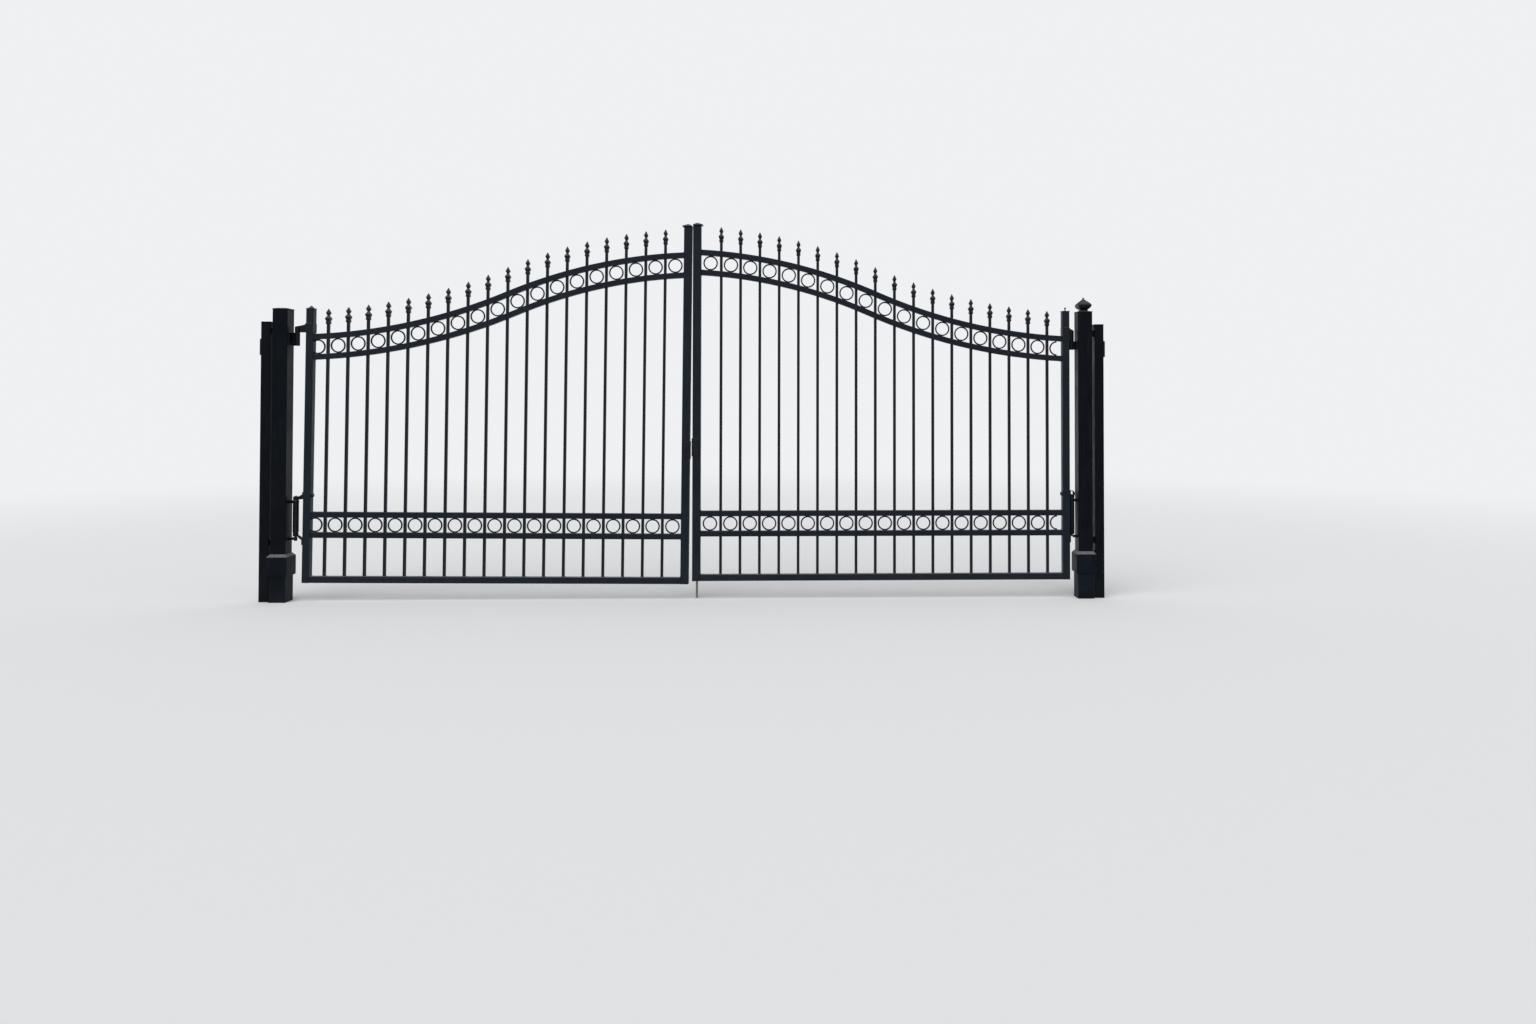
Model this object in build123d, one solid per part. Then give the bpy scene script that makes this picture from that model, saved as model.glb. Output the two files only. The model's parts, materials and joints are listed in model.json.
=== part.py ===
from build123d import *
import os
from math import asin, atan2, cos, degrees, hypot, radians, sin, sqrt, tan

# Double-leaf ornamental iron driveway gate on two square hinge posts.
# Millimetres. X runs along the gate, Y into the drive, Z up.
# The origin is the centre of the left hinge post's closed foot.

# Hinge posts
post_width = 101.6
post_wall = 4.8
post_height = 2012.0
post_foot_plate = 8.0
post_cap_lip = 2.5
post_cap_edge = 5.0
post_cap_rise = 6.0
post_cap_crown = 40.0

# Right post finial
finial_neck = 54.0
finial_neck_height = 12.0
finial_width = 96.0
finial_flare_height = 26.0
finial_band = 6.0
finial_roof_height = 40.0
finial_seat = 14.0
finial_ball = 15.0
finial_ball_rise = 5.25

# Two-tier boots at the foot of the hinge posts
boot_lower_width = 114.3
boot_lower_height = 176.0
boot_upper_width = 139.7
boot_upper_height = 154.0
boot_shoulder = 19.0
boot_shoulder_lip = 1.0
boot_undercut = 7.0
boot_fit = 0.4

# Jamb posts outside the hinge posts
jamb_width = 63.5
jamb_wall = 3.2
jamb_height = 1924.0
jamb_gap = 22.0
jamb_cap_lip = 1.5
jamb_cap_thickness = 4.0
tie_width = 38.0
tie_height = 46.0
tie_drop = 38.0
tie_low_height = 430.0
wall_bracket_width = 44.0
wall_bracket_height = 112.0
wall_bracket_thickness = 12.0
wall_bracket_centre = 1753.0

# Leaf frame
stile_width = 50.8
stile_depth = 50.8
stile_wall = 3.2
meeting_width = 57.0
hinge_stile_stand = 262.5
meeting_stile_stand = 270.5
right_meeting_drop = 11.0
leaf_clearance = 129.0
bottom_rail_height = 44.45
bottom_rail_wall = 3.2
rail_width = 38.1
low_ring_rail_height = 438.0

# Pickets
picket_count = 18
left_picket_pitch = 136.4
right_picket_pitch = 135.4
picket_width = 19.05
picket_wall = 1.6
punch_fit = 0.3
left_hinge_bay = 93.0
left_meeting_bay = 130.0
right_hinge_bay = 104.5
right_meeting_bay = 139.6

# Rings
ring_outer = 101.6
ring_bar = 9.5
ring_sides = 16
ring_fit = 0.3

# Arched ring band: two tangent arcs, hollow near the hinge, round near the middle
arch_foot_height = 1755.5
arch_foot_angle = 2.9
arch_turn_run = 1350.0
arch_turn_rise = 317.0
arch_rise = 599.0

# Spear points, all square in plan
spear_stand = 172.0
spear_tip = 1.5
spear_head_width = 29.0
spear_head_drop = 31.0
spear_neck_width = 13.0
spear_neck_drop = 49.0
spear_collar_width = 37.0
spear_collar_drop = 69.0
spear_collar_edge = 3.0
spear_waist_width = 25.0
spear_waist_drop = 87.0
spear_bead_width = 28.5
spear_bead_height = 5.0
spear_foot_width = 25.0
spear_foot_height = 4.0
spear_length = 108.0
spear_socket_depth = 22.0
spear_fit = 0.3

# Stile caps
cap_lip = 12.0
cap_edge = 4.0
cap_rise = 16.0
cap_crown = 8.0
hinge_cap_lip = 2.0
hinge_cap_thickness = 4.0
left_knob_width = 36.0
left_knob_rise = 18.0
left_knob_tip = 6.0
right_knob_rod = 8.0
right_knob_stand = 20.0
right_knob_ball = 13.0
knob_sides = 8

# Hinge line and the hang of the leaves
hinge_axis_y = 20.0
left_axis_to_post = 38.0
left_axis_to_stile = 62.0
right_axis_to_post = 30.0
right_axis_to_stile = 24.0
meeting_gap_top = 5.2
left_leaf_sag = 0.45

# Upper hinges
pin_diameter = 16.0
pin_fit = 0.4
barrel_diameter = 32.0
left_barrel_height = 92.0
right_barrel_height = 60.0
hinge_play = 0.6
left_stile_horn = 102.0
left_strap_height = 60.0
right_stile_horn = 116.0
right_strap_height = 92.0
strap_shoulder = 28.0
strap_thickness = 4.0
strap_fit = 0.2
eye_diameter = 36.0
arm_thickness = 11.0
barrel_plate_width = 76.0
barrel_plate_thickness = 6.0

# Hydraulic closers at the lower hinges
closer_diameter = 36.0
closer_foot_height = 474.0
closer_length = 222.0
closer_band_height = 30.0
closer_band_inset = 28.0
closer_eye_height = 28.0
arm_bar = 13.0
arm_bolt_rise = 20.0
arm_crown = 24.0
arm_pad_height = 44.0
arm_pad_thickness = 6.0
arm_pad_width = 50.0
bolt_diameter = 12.0
bolt_fit = 0.3
bolt_head_diameter = 22.0
bolt_head_length = 9.0
foot_strap_drop = 44.0
foot_pad_height = 50.0

# Latch plates on the meeting stiles
latch_height = 125.0
latch_centre = 1060.0
latch_thickness = 6.0
latch_reach = 5.0
latch_inset = 12.0

# Drop rod on the back of the right meeting stile
rod_diameter = 15.9
rod_floor_gap = 4.0
rod_top = 690.0
rod_stand_off = 26.0
rod_handle = 80.0
rod_bend = 22.0
rod_fit = 0.4
guide_width = 34.0
guide_height = 32.0
guide_low = 190.0
guide_high = 520.0
rod_collar_diameter = 26.0
rod_collar_height = 10.0
rod_collar_gap = 0.4

# Derived sizes
half_post = post_width / 2
half_stile = stile_depth / 2
half_rail = rail_width / 2
hinge_stile_height = arch_foot_height + hinge_stile_stand
left_meeting_height = arch_foot_height + arch_rise + meeting_stile_stand
right_meeting_height = left_meeting_height - right_meeting_drop
ring_radius = ring_outer / 2
band_half = ring_radius + ring_fit
high_ring_rail_height = low_ring_rail_height + rail_width + 2 * band_half
ring_row_height = low_ring_rail_height + rail_width + band_half
left_span = left_hinge_bay + (picket_count - 1) * left_picket_pitch + left_meeting_bay
right_span = right_hinge_bay + (picket_count - 1) * right_picket_pitch + right_meeting_bay
left_width = stile_width + left_span + meeting_width
right_width = stile_width + right_span + meeting_width
sag_lean = (left_meeting_height - leaf_clearance) * sin(radians(left_leaf_sag))
left_axis_x = half_post + left_axis_to_post
left_leaf_x = left_axis_x + left_axis_to_stile
right_leaf_x = left_leaf_x + left_width + sag_lean + meeting_gap_top + right_width
right_axis_x = right_leaf_x + right_axis_to_stile
right_post_x = right_axis_x + right_axis_to_post + half_post
arch_top_offset = band_half + rail_width
left_strap_foot = hinge_stile_height - left_stile_horn - left_strap_height
right_strap_foot = hinge_stile_height - right_stile_horn - right_strap_height
closer_top = closer_foot_height + closer_length


def span_box(x0, x1, y0, y1, z0, z1):
    """Box between two corners."""
    return Pos((x0 + x1) / 2, (y0 + y1) / 2, (z0 + z1) / 2) * Box(x1 - x0, y1 - y0, z1 - z0)


def post_tube(x, width, depth, wall, z0, z1):
    """Upright square tube, open at both ends."""
    outer = span_box(x - width / 2, x + width / 2, -depth / 2, depth / 2, z0, z1)
    inner_x = width / 2 - wall
    inner_y = depth / 2 - wall
    return outer - span_box(x - inner_x, x + inner_x, -inner_y, inner_y, z0, z1)


def rail_tube(x0, x1, z0, size, wall):
    """Level square tube, open at both ends."""
    outer = span_box(x0, x1, -size / 2, size / 2, z0, z0 + size)
    inner = size / 2 - wall
    return outer - span_box(x0, x1, -inner, inner, z0 + wall, z0 + size - wall)


def flat_stack(rims):
    """Solid through level outlines, each a list of corners, lowest first, joined by flat faces."""
    faces = [Face(Wire.make_polygon(rims[0])), Face(Wire.make_polygon(rims[-1]))]
    for low, high in zip(rims, rims[1:]):
        for i in range(len(low)):
            j = (i + 1) % len(low)
            faces.append(Face(Wire.make_polygon([low[i], low[j], high[j], high[i]])))
    return Solid(Shell(faces))


def level_rim(x0, x1, half_depth, z):
    """Corners of a level rectangle centred on the plane of the gate."""
    return [(x0, -half_depth, z), (x1, -half_depth, z), (x1, half_depth, z), (x0, half_depth, z)]


def square_stack(x, z, sections):
    """Solid of square sections given as (width, height above z), lowest first, joined by flat faces."""
    return flat_stack([level_rim(x - width / 2, x + width / 2, width / 2, z + height) for width, height in sections])


def knob(x, z, width):
    """Small ball worked to flats round its middle, centred at height z."""
    rims = []
    for climb in (-60, -30, 0, 30, 60):
        radius = width / 2 * cos(radians(climb))
        level = z + width / 2 * sin(radians(climb))
        turns = [radians(360 / knob_sides * (i + 0.5)) for i in range(knob_sides)]
        rims.append([(x + radius * cos(turn), radius * sin(turn), level) for turn in turns])
    return flat_stack(rims)


def upright(x, y, diameter, z0, z1):
    """Upright round bar."""
    return Pos(x, y, (z0 + z1) / 2) * Cylinder(diameter / 2, z1 - z0)


def leaning(x, diameter, z0, z1, lean):
    """Round bar on the hinge line, turned back by the lean of its leaf so that it stands plumb on the gate."""
    return Pos(x, hinge_axis_y, (z0 + z1) / 2) * Rot(0, -lean, 0) * Cylinder(diameter / 2, z1 - z0)


def axis_at(axis_to_stile, lean, z):
    """Place of the plumb hinge axis in the frame of a leaf that leans, at one height."""
    return -axis_to_stile - (z - leaf_clearance) * tan(radians(lean))


def cross_bar(x0, x1, diameter, z):
    """Round bar lying along X."""
    return Pos((x0 + x1) / 2, 0, z) * Rot(0, 90, 0) * Cylinder(diameter / 2, x1 - x0)


def wall_profile(face, thickness):
    """Extrude a profile drawn in the plane of the gate, centred on that plane."""
    return extrude(face, amount=thickness / 2, both=True)


def hinge_bar(x0, x1, z0, z1):
    """Flat arm that lies on the hinge line."""
    half = arm_thickness / 2
    return span_box(x0, x1, hinge_axis_y - half, hinge_axis_y + half, z0, z1)


class Arch:
    """Middle line of the arched ring band, from the hinge stile's face inwards."""

    def __init__(self, x0, span):
        foot = radians(arch_foot_angle)
        chord = atan2(arch_turn_rise, arch_turn_run)
        self.turn = 2 * chord - foot
        self.low_radius = hypot(arch_turn_run, arch_turn_rise) / (2 * sin((self.turn - foot) / 2))
        self.low_x = x0 - self.low_radius * sin(foot)
        self.low_z = arch_foot_height + self.low_radius * cos(foot)
        run = span - arch_turn_run
        rise = arch_rise - arch_turn_rise
        head = 2 * atan2(rise, run) - self.turn
        self.high_radius = hypot(run, rise) / (2 * sin((self.turn - head) / 2))
        self.high_x = x0 + arch_turn_run + self.high_radius * sin(self.turn)
        self.high_z = arch_foot_height + arch_turn_rise - self.high_radius * cos(self.turn)
        self.start = foot - rail_width / self.low_radius
        self.end = head - rail_width / self.high_radius
        self.x0 = x0
        self.x1 = x0 + span

    def low_point(self, slope, offset):
        radius = self.low_radius - offset
        return (self.low_x + radius * sin(slope), self.low_z - radius * cos(slope))

    def high_point(self, slope, offset):
        radius = self.high_radius + offset
        return (self.high_x - radius * sin(slope), self.high_z + radius * cos(slope))

    def height(self, x, offset=0.0):
        """Height of the line that runs offset above the middle line."""
        if x <= self.low_point(self.turn, offset)[0]:
            return self.low_z - sqrt((self.low_radius - offset) ** 2 - (x - self.low_x) ** 2)
        return self.high_z + sqrt((self.high_radius + offset) ** 2 - (x - self.high_x) ** 2)

    def slope(self, x):
        """Angle at which the middle line climbs."""
        if x <= self.low_point(self.turn, 0)[0]:
            return asin((x - self.low_x) / self.low_radius)
        return asin((self.high_x - x) / self.high_radius)

    def line(self, offset):
        """Both arcs at one offset, from the foot to the head."""
        low_middle = (self.start + self.turn) / 2
        high_middle = (self.turn + self.end) / 2
        joint = self.low_point(self.turn, offset)
        low = ThreePointArc(self.low_point(self.start, offset), self.low_point(low_middle, offset), joint)
        high = ThreePointArc(joint, self.high_point(high_middle, offset), self.high_point(self.end, offset))
        return low, high

    def band(self, offset0, offset1, depth):
        """Bar of the band between two offsets, cut off plumb at both stiles."""
        lower = self.line(offset0)
        upper = self.line(offset1)
        foot = Line(lower[0] @ 0, upper[0] @ 0)
        head = Line(lower[1] @ 1, upper[1] @ 1)
        outline = Wire([lower[0], lower[1], head, upper[1], upper[0], foot])
        bar = wall_profile(Plane.XZ * make_face(outline), depth)
        low = self.height(self.x0, offset0) - rail_width
        high = self.height(self.x1, offset1) + rail_width
        return bar & span_box(self.x0, self.x1, -depth, depth, low, high)


def punches(xs, z0, z1):
    """Square holes that the pickets pass through."""
    half = picket_width / 2 + punch_fit
    return [span_box(x - half, x + half, -half, half, z0, z1) for x in xs]


def ring(x, z, slope):
    """Ring of square bar bent in short flats, turned so that a corner meets each of its rails."""
    bar = RegularPolygon(ring_radius, ring_sides) - RegularPolygon(ring_radius - ring_bar, ring_sides)
    face = Pos(x, z) * Rot(0, 0, degrees(slope)) * bar
    return wall_profile(Plane.XZ * face, ring_bar)


def ring_row(centres, stile_face, half_ring):
    """Rings of one row; the first is trimmed by the hinge stile or is a plain half."""
    rings = [ring(x, z, slope) for x, z, slope in centres]
    x, z = centres[0][:2]
    cut = x if half_ring else stile_face
    keep = span_box(cut, x + ring_outer, -ring_outer, ring_outer, z - ring_outer, z + ring_outer)
    return [rings[0] & keep] + rings[1:]


def spear(x, picket_top):
    """Cast spear point that sits over the end of a picket."""
    foot = picket_top - spear_socket_depth
    tip = foot + spear_length
    bead_drop = spear_length - spear_foot_height
    drops = [
        (spear_foot_width, spear_length),
        (spear_bead_width, bead_drop),
        (spear_bead_width, bead_drop - spear_bead_height),
        (spear_waist_width, spear_waist_drop),
        (spear_collar_width, spear_collar_drop + spear_collar_edge),
        (spear_collar_width, spear_collar_drop),
        (spear_neck_width, spear_neck_drop),
        (spear_head_width, spear_head_drop),
        (spear_tip, 0.0),
    ]
    point = square_stack(x, tip, [(width, -drop) for width, drop in drops])
    half = picket_width / 2 + spear_fit
    return point - span_box(x - half, x + half, -half, half, foot, picket_top + spear_fit)


def upper_strap(axis_to_stile, lean, foot, height):
    """Saddle over the hinge stile with an eye that turns on the barrel's pin; its shoulder slopes to the eye."""
    top = foot + height
    axis_x = axis_at(axis_to_stile, lean, foot + height / 2)
    outer = half_stile + strap_fit + strap_thickness
    inner = half_stile + strap_fit
    face = -strap_fit - strap_thickness
    saddle = span_box(face, stile_width, -outer, outer, foot, top)
    saddle -= span_box(-strap_fit, stile_width, -inner, inner, foot, top)
    eye = leaning(axis_x, eye_diameter, foot, top, lean)
    bore = leaning(axis_x, pin_diameter + 2 * pin_fit, foot - eye_diameter, top + eye_diameter, lean)
    end = axis_x - eye_diameter
    above = top + eye_diameter
    slope = Polyline((face, top), (face, above), (end, above), (end, top - strap_shoulder), close=True)
    shoulder = wall_profile(Plane.XZ * make_face(slope), 4 * eye_diameter)
    return saddle + (hinge_bar(axis_x, face, foot, top) + eye - shoulder - bore)


def stile_pad(z, height):
    """Welding pad on the hinge side of a stile."""
    half = arm_pad_width / 2
    return span_box(-arm_pad_thickness, 0, -half, half, z - height / 2, z + height / 2)


def closer_arm(axis_to_stile, lean):
    """Gooseneck arm from the closer's upper spindle to a through bolt in the stile."""
    z0 = closer_top + hinge_play
    z1 = z0 + closer_eye_height
    middle = (z0 + z1) / 2
    axis_x = axis_at(axis_to_stile, lean, middle)
    bolt_z = middle + arm_bolt_rise
    eye = leaning(axis_x, eye_diameter, z0, z1, lean)
    crown = (axis_x * 0.55, middle + arm_crown + arm_bolt_rise / 2)
    path = ThreePointArc((axis_x, middle), crown, (-arm_pad_thickness / 2, bolt_z))
    neck = Pos(0, hinge_axis_y, 0) * wall_profile(Plane.XZ * trace(path, arm_bar), arm_thickness)
    pad = stile_pad(bolt_z, arm_pad_height)
    limit = span_box(axis_x * 2 - eye_diameter, 0, -stile_depth, stile_depth, z0, bolt_z + rail_width)
    bore = leaning(axis_x, pin_diameter + 2 * pin_fit, z0 - arm_crown, z1 + arm_crown, lean)
    bolt = cross_bar(-arm_pad_thickness, stile_width + bolt_head_length, bolt_diameter, bolt_z)
    head = cross_bar(stile_width, stile_width + bolt_head_length, bolt_head_diameter, bolt_z)
    return (eye + neck) & limit, pad, bolt + head, bore, bolt_z


def closer_foot(axis_to_stile, lean):
    """Slanted strap from the closer's lower spindle to a pad on the stile."""
    z1 = closer_foot_height - 2 * hinge_play
    z0 = z1 - closer_eye_height
    middle = (z0 + z1) / 2
    axis_x = axis_at(axis_to_stile, lean, middle)
    pad_z = middle - foot_strap_drop
    eye = leaning(axis_x, eye_diameter, z0, z1, lean)
    path = Line((axis_x, middle), (-arm_pad_thickness / 2, pad_z))
    bar = Pos(0, hinge_axis_y, 0) * wall_profile(Plane.XZ * trace(path, arm_bar), arm_thickness)
    limit = span_box(axis_x * 2 - eye_diameter, 0, -stile_depth, stile_depth, pad_z - rail_width, z1)
    bore = leaning(axis_x, pin_diameter + 2 * pin_fit, z0 - arm_crown, z1 + arm_crown, lean)
    return ((eye + bar) & limit) + stile_pad(pad_z, foot_pad_height) - bore


def leaf(axis_to_stile, lean, hinge_bay, picket_pitch, meeting_bay, meeting_height, half_ring):
    """One leaf, level, with its hinge stile's outer face at X 0 and the meeting stile at +X."""
    inside = stile_width
    span = hinge_bay + (picket_count - 1) * picket_pitch + meeting_bay
    meeting = inside + span
    width = meeting + meeting_width
    arch = Arch(inside, span)
    pickets_x = [inside + hinge_bay + i * picket_pitch for i in range(picket_count)]
    arm, pad, bolt, bore, bolt_z = closer_arm(axis_to_stile, lean)

    hinge_stile = post_tube(stile_width / 2, stile_width, stile_depth, stile_wall, leaf_clearance, hinge_stile_height)
    hinge_stile -= cross_bar(0, stile_width, bolt_diameter + 2 * bolt_fit, bolt_z)
    meeting_stile = post_tube(
        width - meeting_width / 2, meeting_width, stile_depth, stile_wall, leaf_clearance, meeting_height
    )
    bottom_rail = rail_tube(inside, meeting, leaf_clearance, bottom_rail_height, bottom_rail_wall)
    picket_foot = leaf_clearance + bottom_rail_height

    ring_rails = []
    for height in (low_ring_rail_height, high_ring_rail_height):
        rail = span_box(inside, meeting, -half_rail, half_rail, height, height + rail_width)
        ring_rails.append(rail - punches(pickets_x, height, height + rail_width))

    arch_rails = []
    for offset in (-band_half - rail_width, band_half):
        foot = arch.height(arch.x0, offset) - rail_width
        head = arch.height(arch.x1, offset) + 2 * rail_width
        rail = arch.band(offset, offset + rail_width, rail_width)
        arch_rails.append(rail - punches(pickets_x, foot, head))

    side_gap = (picket_pitch - picket_width - ring_outer) / 2
    ring_x = [pickets_x[0] - picket_width / 2 - side_gap - ring_radius]
    ring_x += [(a + b) / 2 for a, b in zip(pickets_x, pickets_x[1:])]
    ring_x.append((pickets_x[-1] + picket_width / 2 + meeting) / 2)
    low_rings = ring_row([(x, ring_row_height, 0.0) for x in ring_x], inside, half_ring)
    arch_rings = ring_row([(x, arch.height(x), arch.slope(x)) for x in ring_x], inside, half_ring)

    pickets = []
    spears = []
    for x in pickets_x:
        tip = arch.height(x, arch_top_offset) + spear_stand
        top = tip - spear_length + spear_socket_depth
        pickets.append(post_tube(x, picket_width, picket_width, picket_wall, picket_foot, top))
        spears.append(spear(x, top))

    return {
        "hinge_stile": [hinge_stile],
        "meeting_stile": [meeting_stile],
        "bottom_rail": [bottom_rail],
        "ring_rails": ring_rails,
        "arch_rails": arch_rails,
        "lower_rings": low_rings,
        "arch_rings": arch_rings,
        "pickets": pickets,
        "spear_points": spears,
        "closer_arm": [arm + pad - bore + bolt],
        "closer_foot_strap": [closer_foot(axis_to_stile, lean)],
    }, width


def meeting_cap(width, foot):
    """Low pyramid cap, flush on the meeting side and proud on the others."""
    x0 = width - meeting_width - cap_lip
    half = half_stile + cap_lip
    middle = width - meeting_width / 2
    edge = foot + cap_edge
    crown = cap_crown / 2
    return flat_stack(
        [
            level_rim(x0, width, half, foot),
            level_rim(x0, width, half, edge),
            level_rim(middle - crown, middle + crown, crown, edge + cap_rise),
        ]
    )


def hinge_cap():
    half_x = stile_width / 2 + hinge_cap_lip
    half_y = half_stile + hinge_cap_lip
    middle = stile_width / 2
    top = hinge_stile_height + hinge_cap_thickness
    return span_box(middle - half_x, middle + half_x, -half_y, half_y, hinge_stile_height, top)


def left_stile_caps(width):
    top = hinge_stile_height + hinge_cap_thickness
    point = square_stack(stile_width / 2, top, [(left_knob_width, 0.0), (left_knob_tip, left_knob_rise)])
    return [hinge_cap() + point, meeting_cap(width, left_meeting_height)]


def right_stile_caps(width):
    top = hinge_stile_height + hinge_cap_thickness
    rod = upright(stile_width / 2, 0, right_knob_rod, top, top + right_knob_stand)
    ball = knob(stile_width / 2, top + right_knob_stand, right_knob_ball)
    return [hinge_cap() + rod + ball, meeting_cap(width, right_meeting_height)]


def latch_plate(width):
    """Bent plate on the face of a meeting stile, turned a little into the gap."""
    z0 = latch_centre - latch_height / 2
    z1 = latch_centre + latch_height / 2
    y0 = -half_stile - latch_thickness
    x0 = width - meeting_width + latch_inset
    plate = span_box(x0, width + latch_reach, y0, -half_stile, z0, z1)
    lip = span_box(width, width + latch_reach, y0, half_stile - latch_inset, z0, z1)
    return plate + lip


def drop_rod_guides(width):
    x = width - meeting_width / 2
    y = half_stile + rod_stand_off
    guides = []
    for z in (guide_low, guide_high):
        block = span_box(x - guide_width / 2, x + guide_width / 2, half_stile, y, z, z + guide_height)
        block += upright(x, y, guide_width, z, z + guide_height)
        guides.append(block - upright(x, y, rod_diameter + 2 * rod_fit, z, z + guide_height))
    return guides


def drop_rod(width):
    """Cane bolt: round rod, stop collar on the lower guide and a bent handle."""
    x = width - meeting_width / 2
    y = half_stile + rod_stand_off
    corners = [(x, y, rod_floor_gap), (x, y, rod_top), (x, y + rod_handle, rod_top)]
    path = FilletPolyline(*corners, radius=rod_bend)
    rod = sweep(Plane(path @ 0, z_dir=(0, 0, 1)) * Circle(rod_diameter / 2), path=path)
    seat = guide_low + guide_height + rod_collar_gap
    collar = upright(x, y, rod_collar_diameter, seat, seat + rod_collar_height)
    return rod + collar


def hinge_post(x):
    tube = post_tube(x, post_width, post_width, post_wall, 0, post_height)
    return tube + span_box(x - half_post, x + half_post, -half_post, half_post, 0, post_foot_plate)


def post_cap(x):
    lip = post_width + 2 * post_cap_lip
    return square_stack(
        x,
        post_height,
        [(lip, 0.0), (lip, post_cap_edge), (post_cap_crown + finial_seat, post_cap_edge + post_cap_rise)],
    )


def post_finial(x):
    """Square finial: neck, flared bowl, low roof and a ball."""
    bowl = finial_neck_height + finial_flare_height
    roof = bowl + finial_band
    body = square_stack(
        x,
        post_height + post_cap_edge + post_cap_rise,
        [
            (finial_neck, 0.0),
            (finial_neck, finial_neck_height),
            (finial_width, bowl),
            (finial_width, roof),
            (finial_seat, roof + finial_roof_height),
        ],
    )
    top = post_height + post_cap_edge + post_cap_rise + roof + finial_roof_height
    return body + knob(x, top + finial_ball_rise, finial_ball)


def post_boot(x):
    """Two-tier boot round the foot of a post: a plain sleeve and a wider tier with a sloped shoulder."""
    lower_top = boot_lower_height
    upper_top = boot_lower_height + boot_upper_height
    lower = span_box(
        x - boot_lower_width / 2, x + boot_lower_width / 2, -boot_lower_width / 2, boot_lower_width / 2, 0, lower_top
    )
    shoulder_top = post_width + 2 * boot_fit + 2 * boot_shoulder_lip
    upper = square_stack(
        x,
        lower_top,
        [
            (boot_upper_width - 2 * boot_undercut, 0.0),
            (boot_upper_width, boot_undercut),
            (boot_upper_width, boot_upper_height - boot_shoulder),
            (shoulder_top, boot_upper_height),
        ],
    )
    half = half_post + boot_fit
    return lower + upper - span_box(x - half, x + half, -half, half, 0, upper_top)


def barrel(axis_x, post_face, height, strap_foot, strap_height):
    """Post side of the upper hinge: plate, arm, barrel and pin."""
    top = strap_foot - hinge_play
    barrel_foot = top - height
    side = 1 if axis_x > post_face else -1
    plate_x = sorted((post_face, post_face + side * barrel_plate_thickness))
    half = barrel_plate_width / 2
    plate = span_box(plate_x[0], plate_x[1], -half, half, barrel_foot, top)
    arm_x = sorted((post_face, axis_x))
    arm = hinge_bar(arm_x[0], arm_x[1], barrel_foot, top)
    body = upright(axis_x, hinge_axis_y, barrel_diameter, barrel_foot, top)
    pin = upright(axis_x, hinge_axis_y, pin_diameter, barrel_foot, strap_foot + strap_height - strap_shoulder)
    return plate + arm + body + pin


def closer_body(axis_x, post_face):
    """Upright hydraulic cylinder held to the post by two bands, with a spindle at each end."""
    body = upright(axis_x, hinge_axis_y, closer_diameter, closer_foot_height, closer_top)
    reach = hinge_play + closer_eye_height
    spindle = upright(axis_x, hinge_axis_y, pin_diameter, closer_foot_height - reach, closer_top + reach)
    x0, x1 = sorted((post_face, axis_x))
    low = closer_foot_height + closer_band_inset
    high = closer_top - closer_band_inset - closer_band_height
    bands = [hinge_bar(x0, x1, z, z + closer_band_height) for z in (low, high)]
    return body + spindle + bands[0] + bands[1]


left_bays = (left_hinge_bay, left_picket_pitch, left_meeting_bay)
right_bays = (right_hinge_bay, right_picket_pitch, right_meeting_bay)
left_pieces, left_size = leaf(left_axis_to_stile, left_leaf_sag, *left_bays, left_meeting_height, False)
right_pieces, right_size = leaf(right_axis_to_stile, 0.0, *right_bays, right_meeting_height, True)
left_pieces["upper_hinge_strap"] = [
    upper_strap(left_axis_to_stile, left_leaf_sag, left_strap_foot, left_strap_height)
]
right_pieces["upper_hinge_strap"] = [upper_strap(right_axis_to_stile, 0.0, right_strap_foot, right_strap_height)]
left_pieces["stile_caps"] = left_stile_caps(left_size)
right_pieces["stile_caps"] = right_stile_caps(right_size)
left_pieces["latch_plate"] = [latch_plate(left_size)]
right_pieces["latch_plate"] = [latch_plate(right_size)]
right_pieces["drop_rod_guides"] = drop_rod_guides(right_size)

# The left leaf hangs a little low at its free end, turned about the foot of its hinge stile.
left_place = Pos(left_leaf_x, 0, leaf_clearance) * Rot(0, left_leaf_sag, 0) * Pos(0, 0, -leaf_clearance)

nodes = {}
for name, solids in left_pieces.items():
    nodes["left_" + name] = [left_place * solid for solid in solids]
for name, solids in right_pieces.items():
    placed = [Pos(right_leaf_x, 0, 0) * mirror(solid, about=Plane.YZ) for solid in solids]
    nodes["right_" + name] = placed
nodes["drop_rod_guides"] = nodes.pop("right_drop_rod_guides")
nodes["drop_rod"] = [Pos(right_leaf_x, 0, 0) * mirror(drop_rod(right_size), about=Plane.YZ)]

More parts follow.
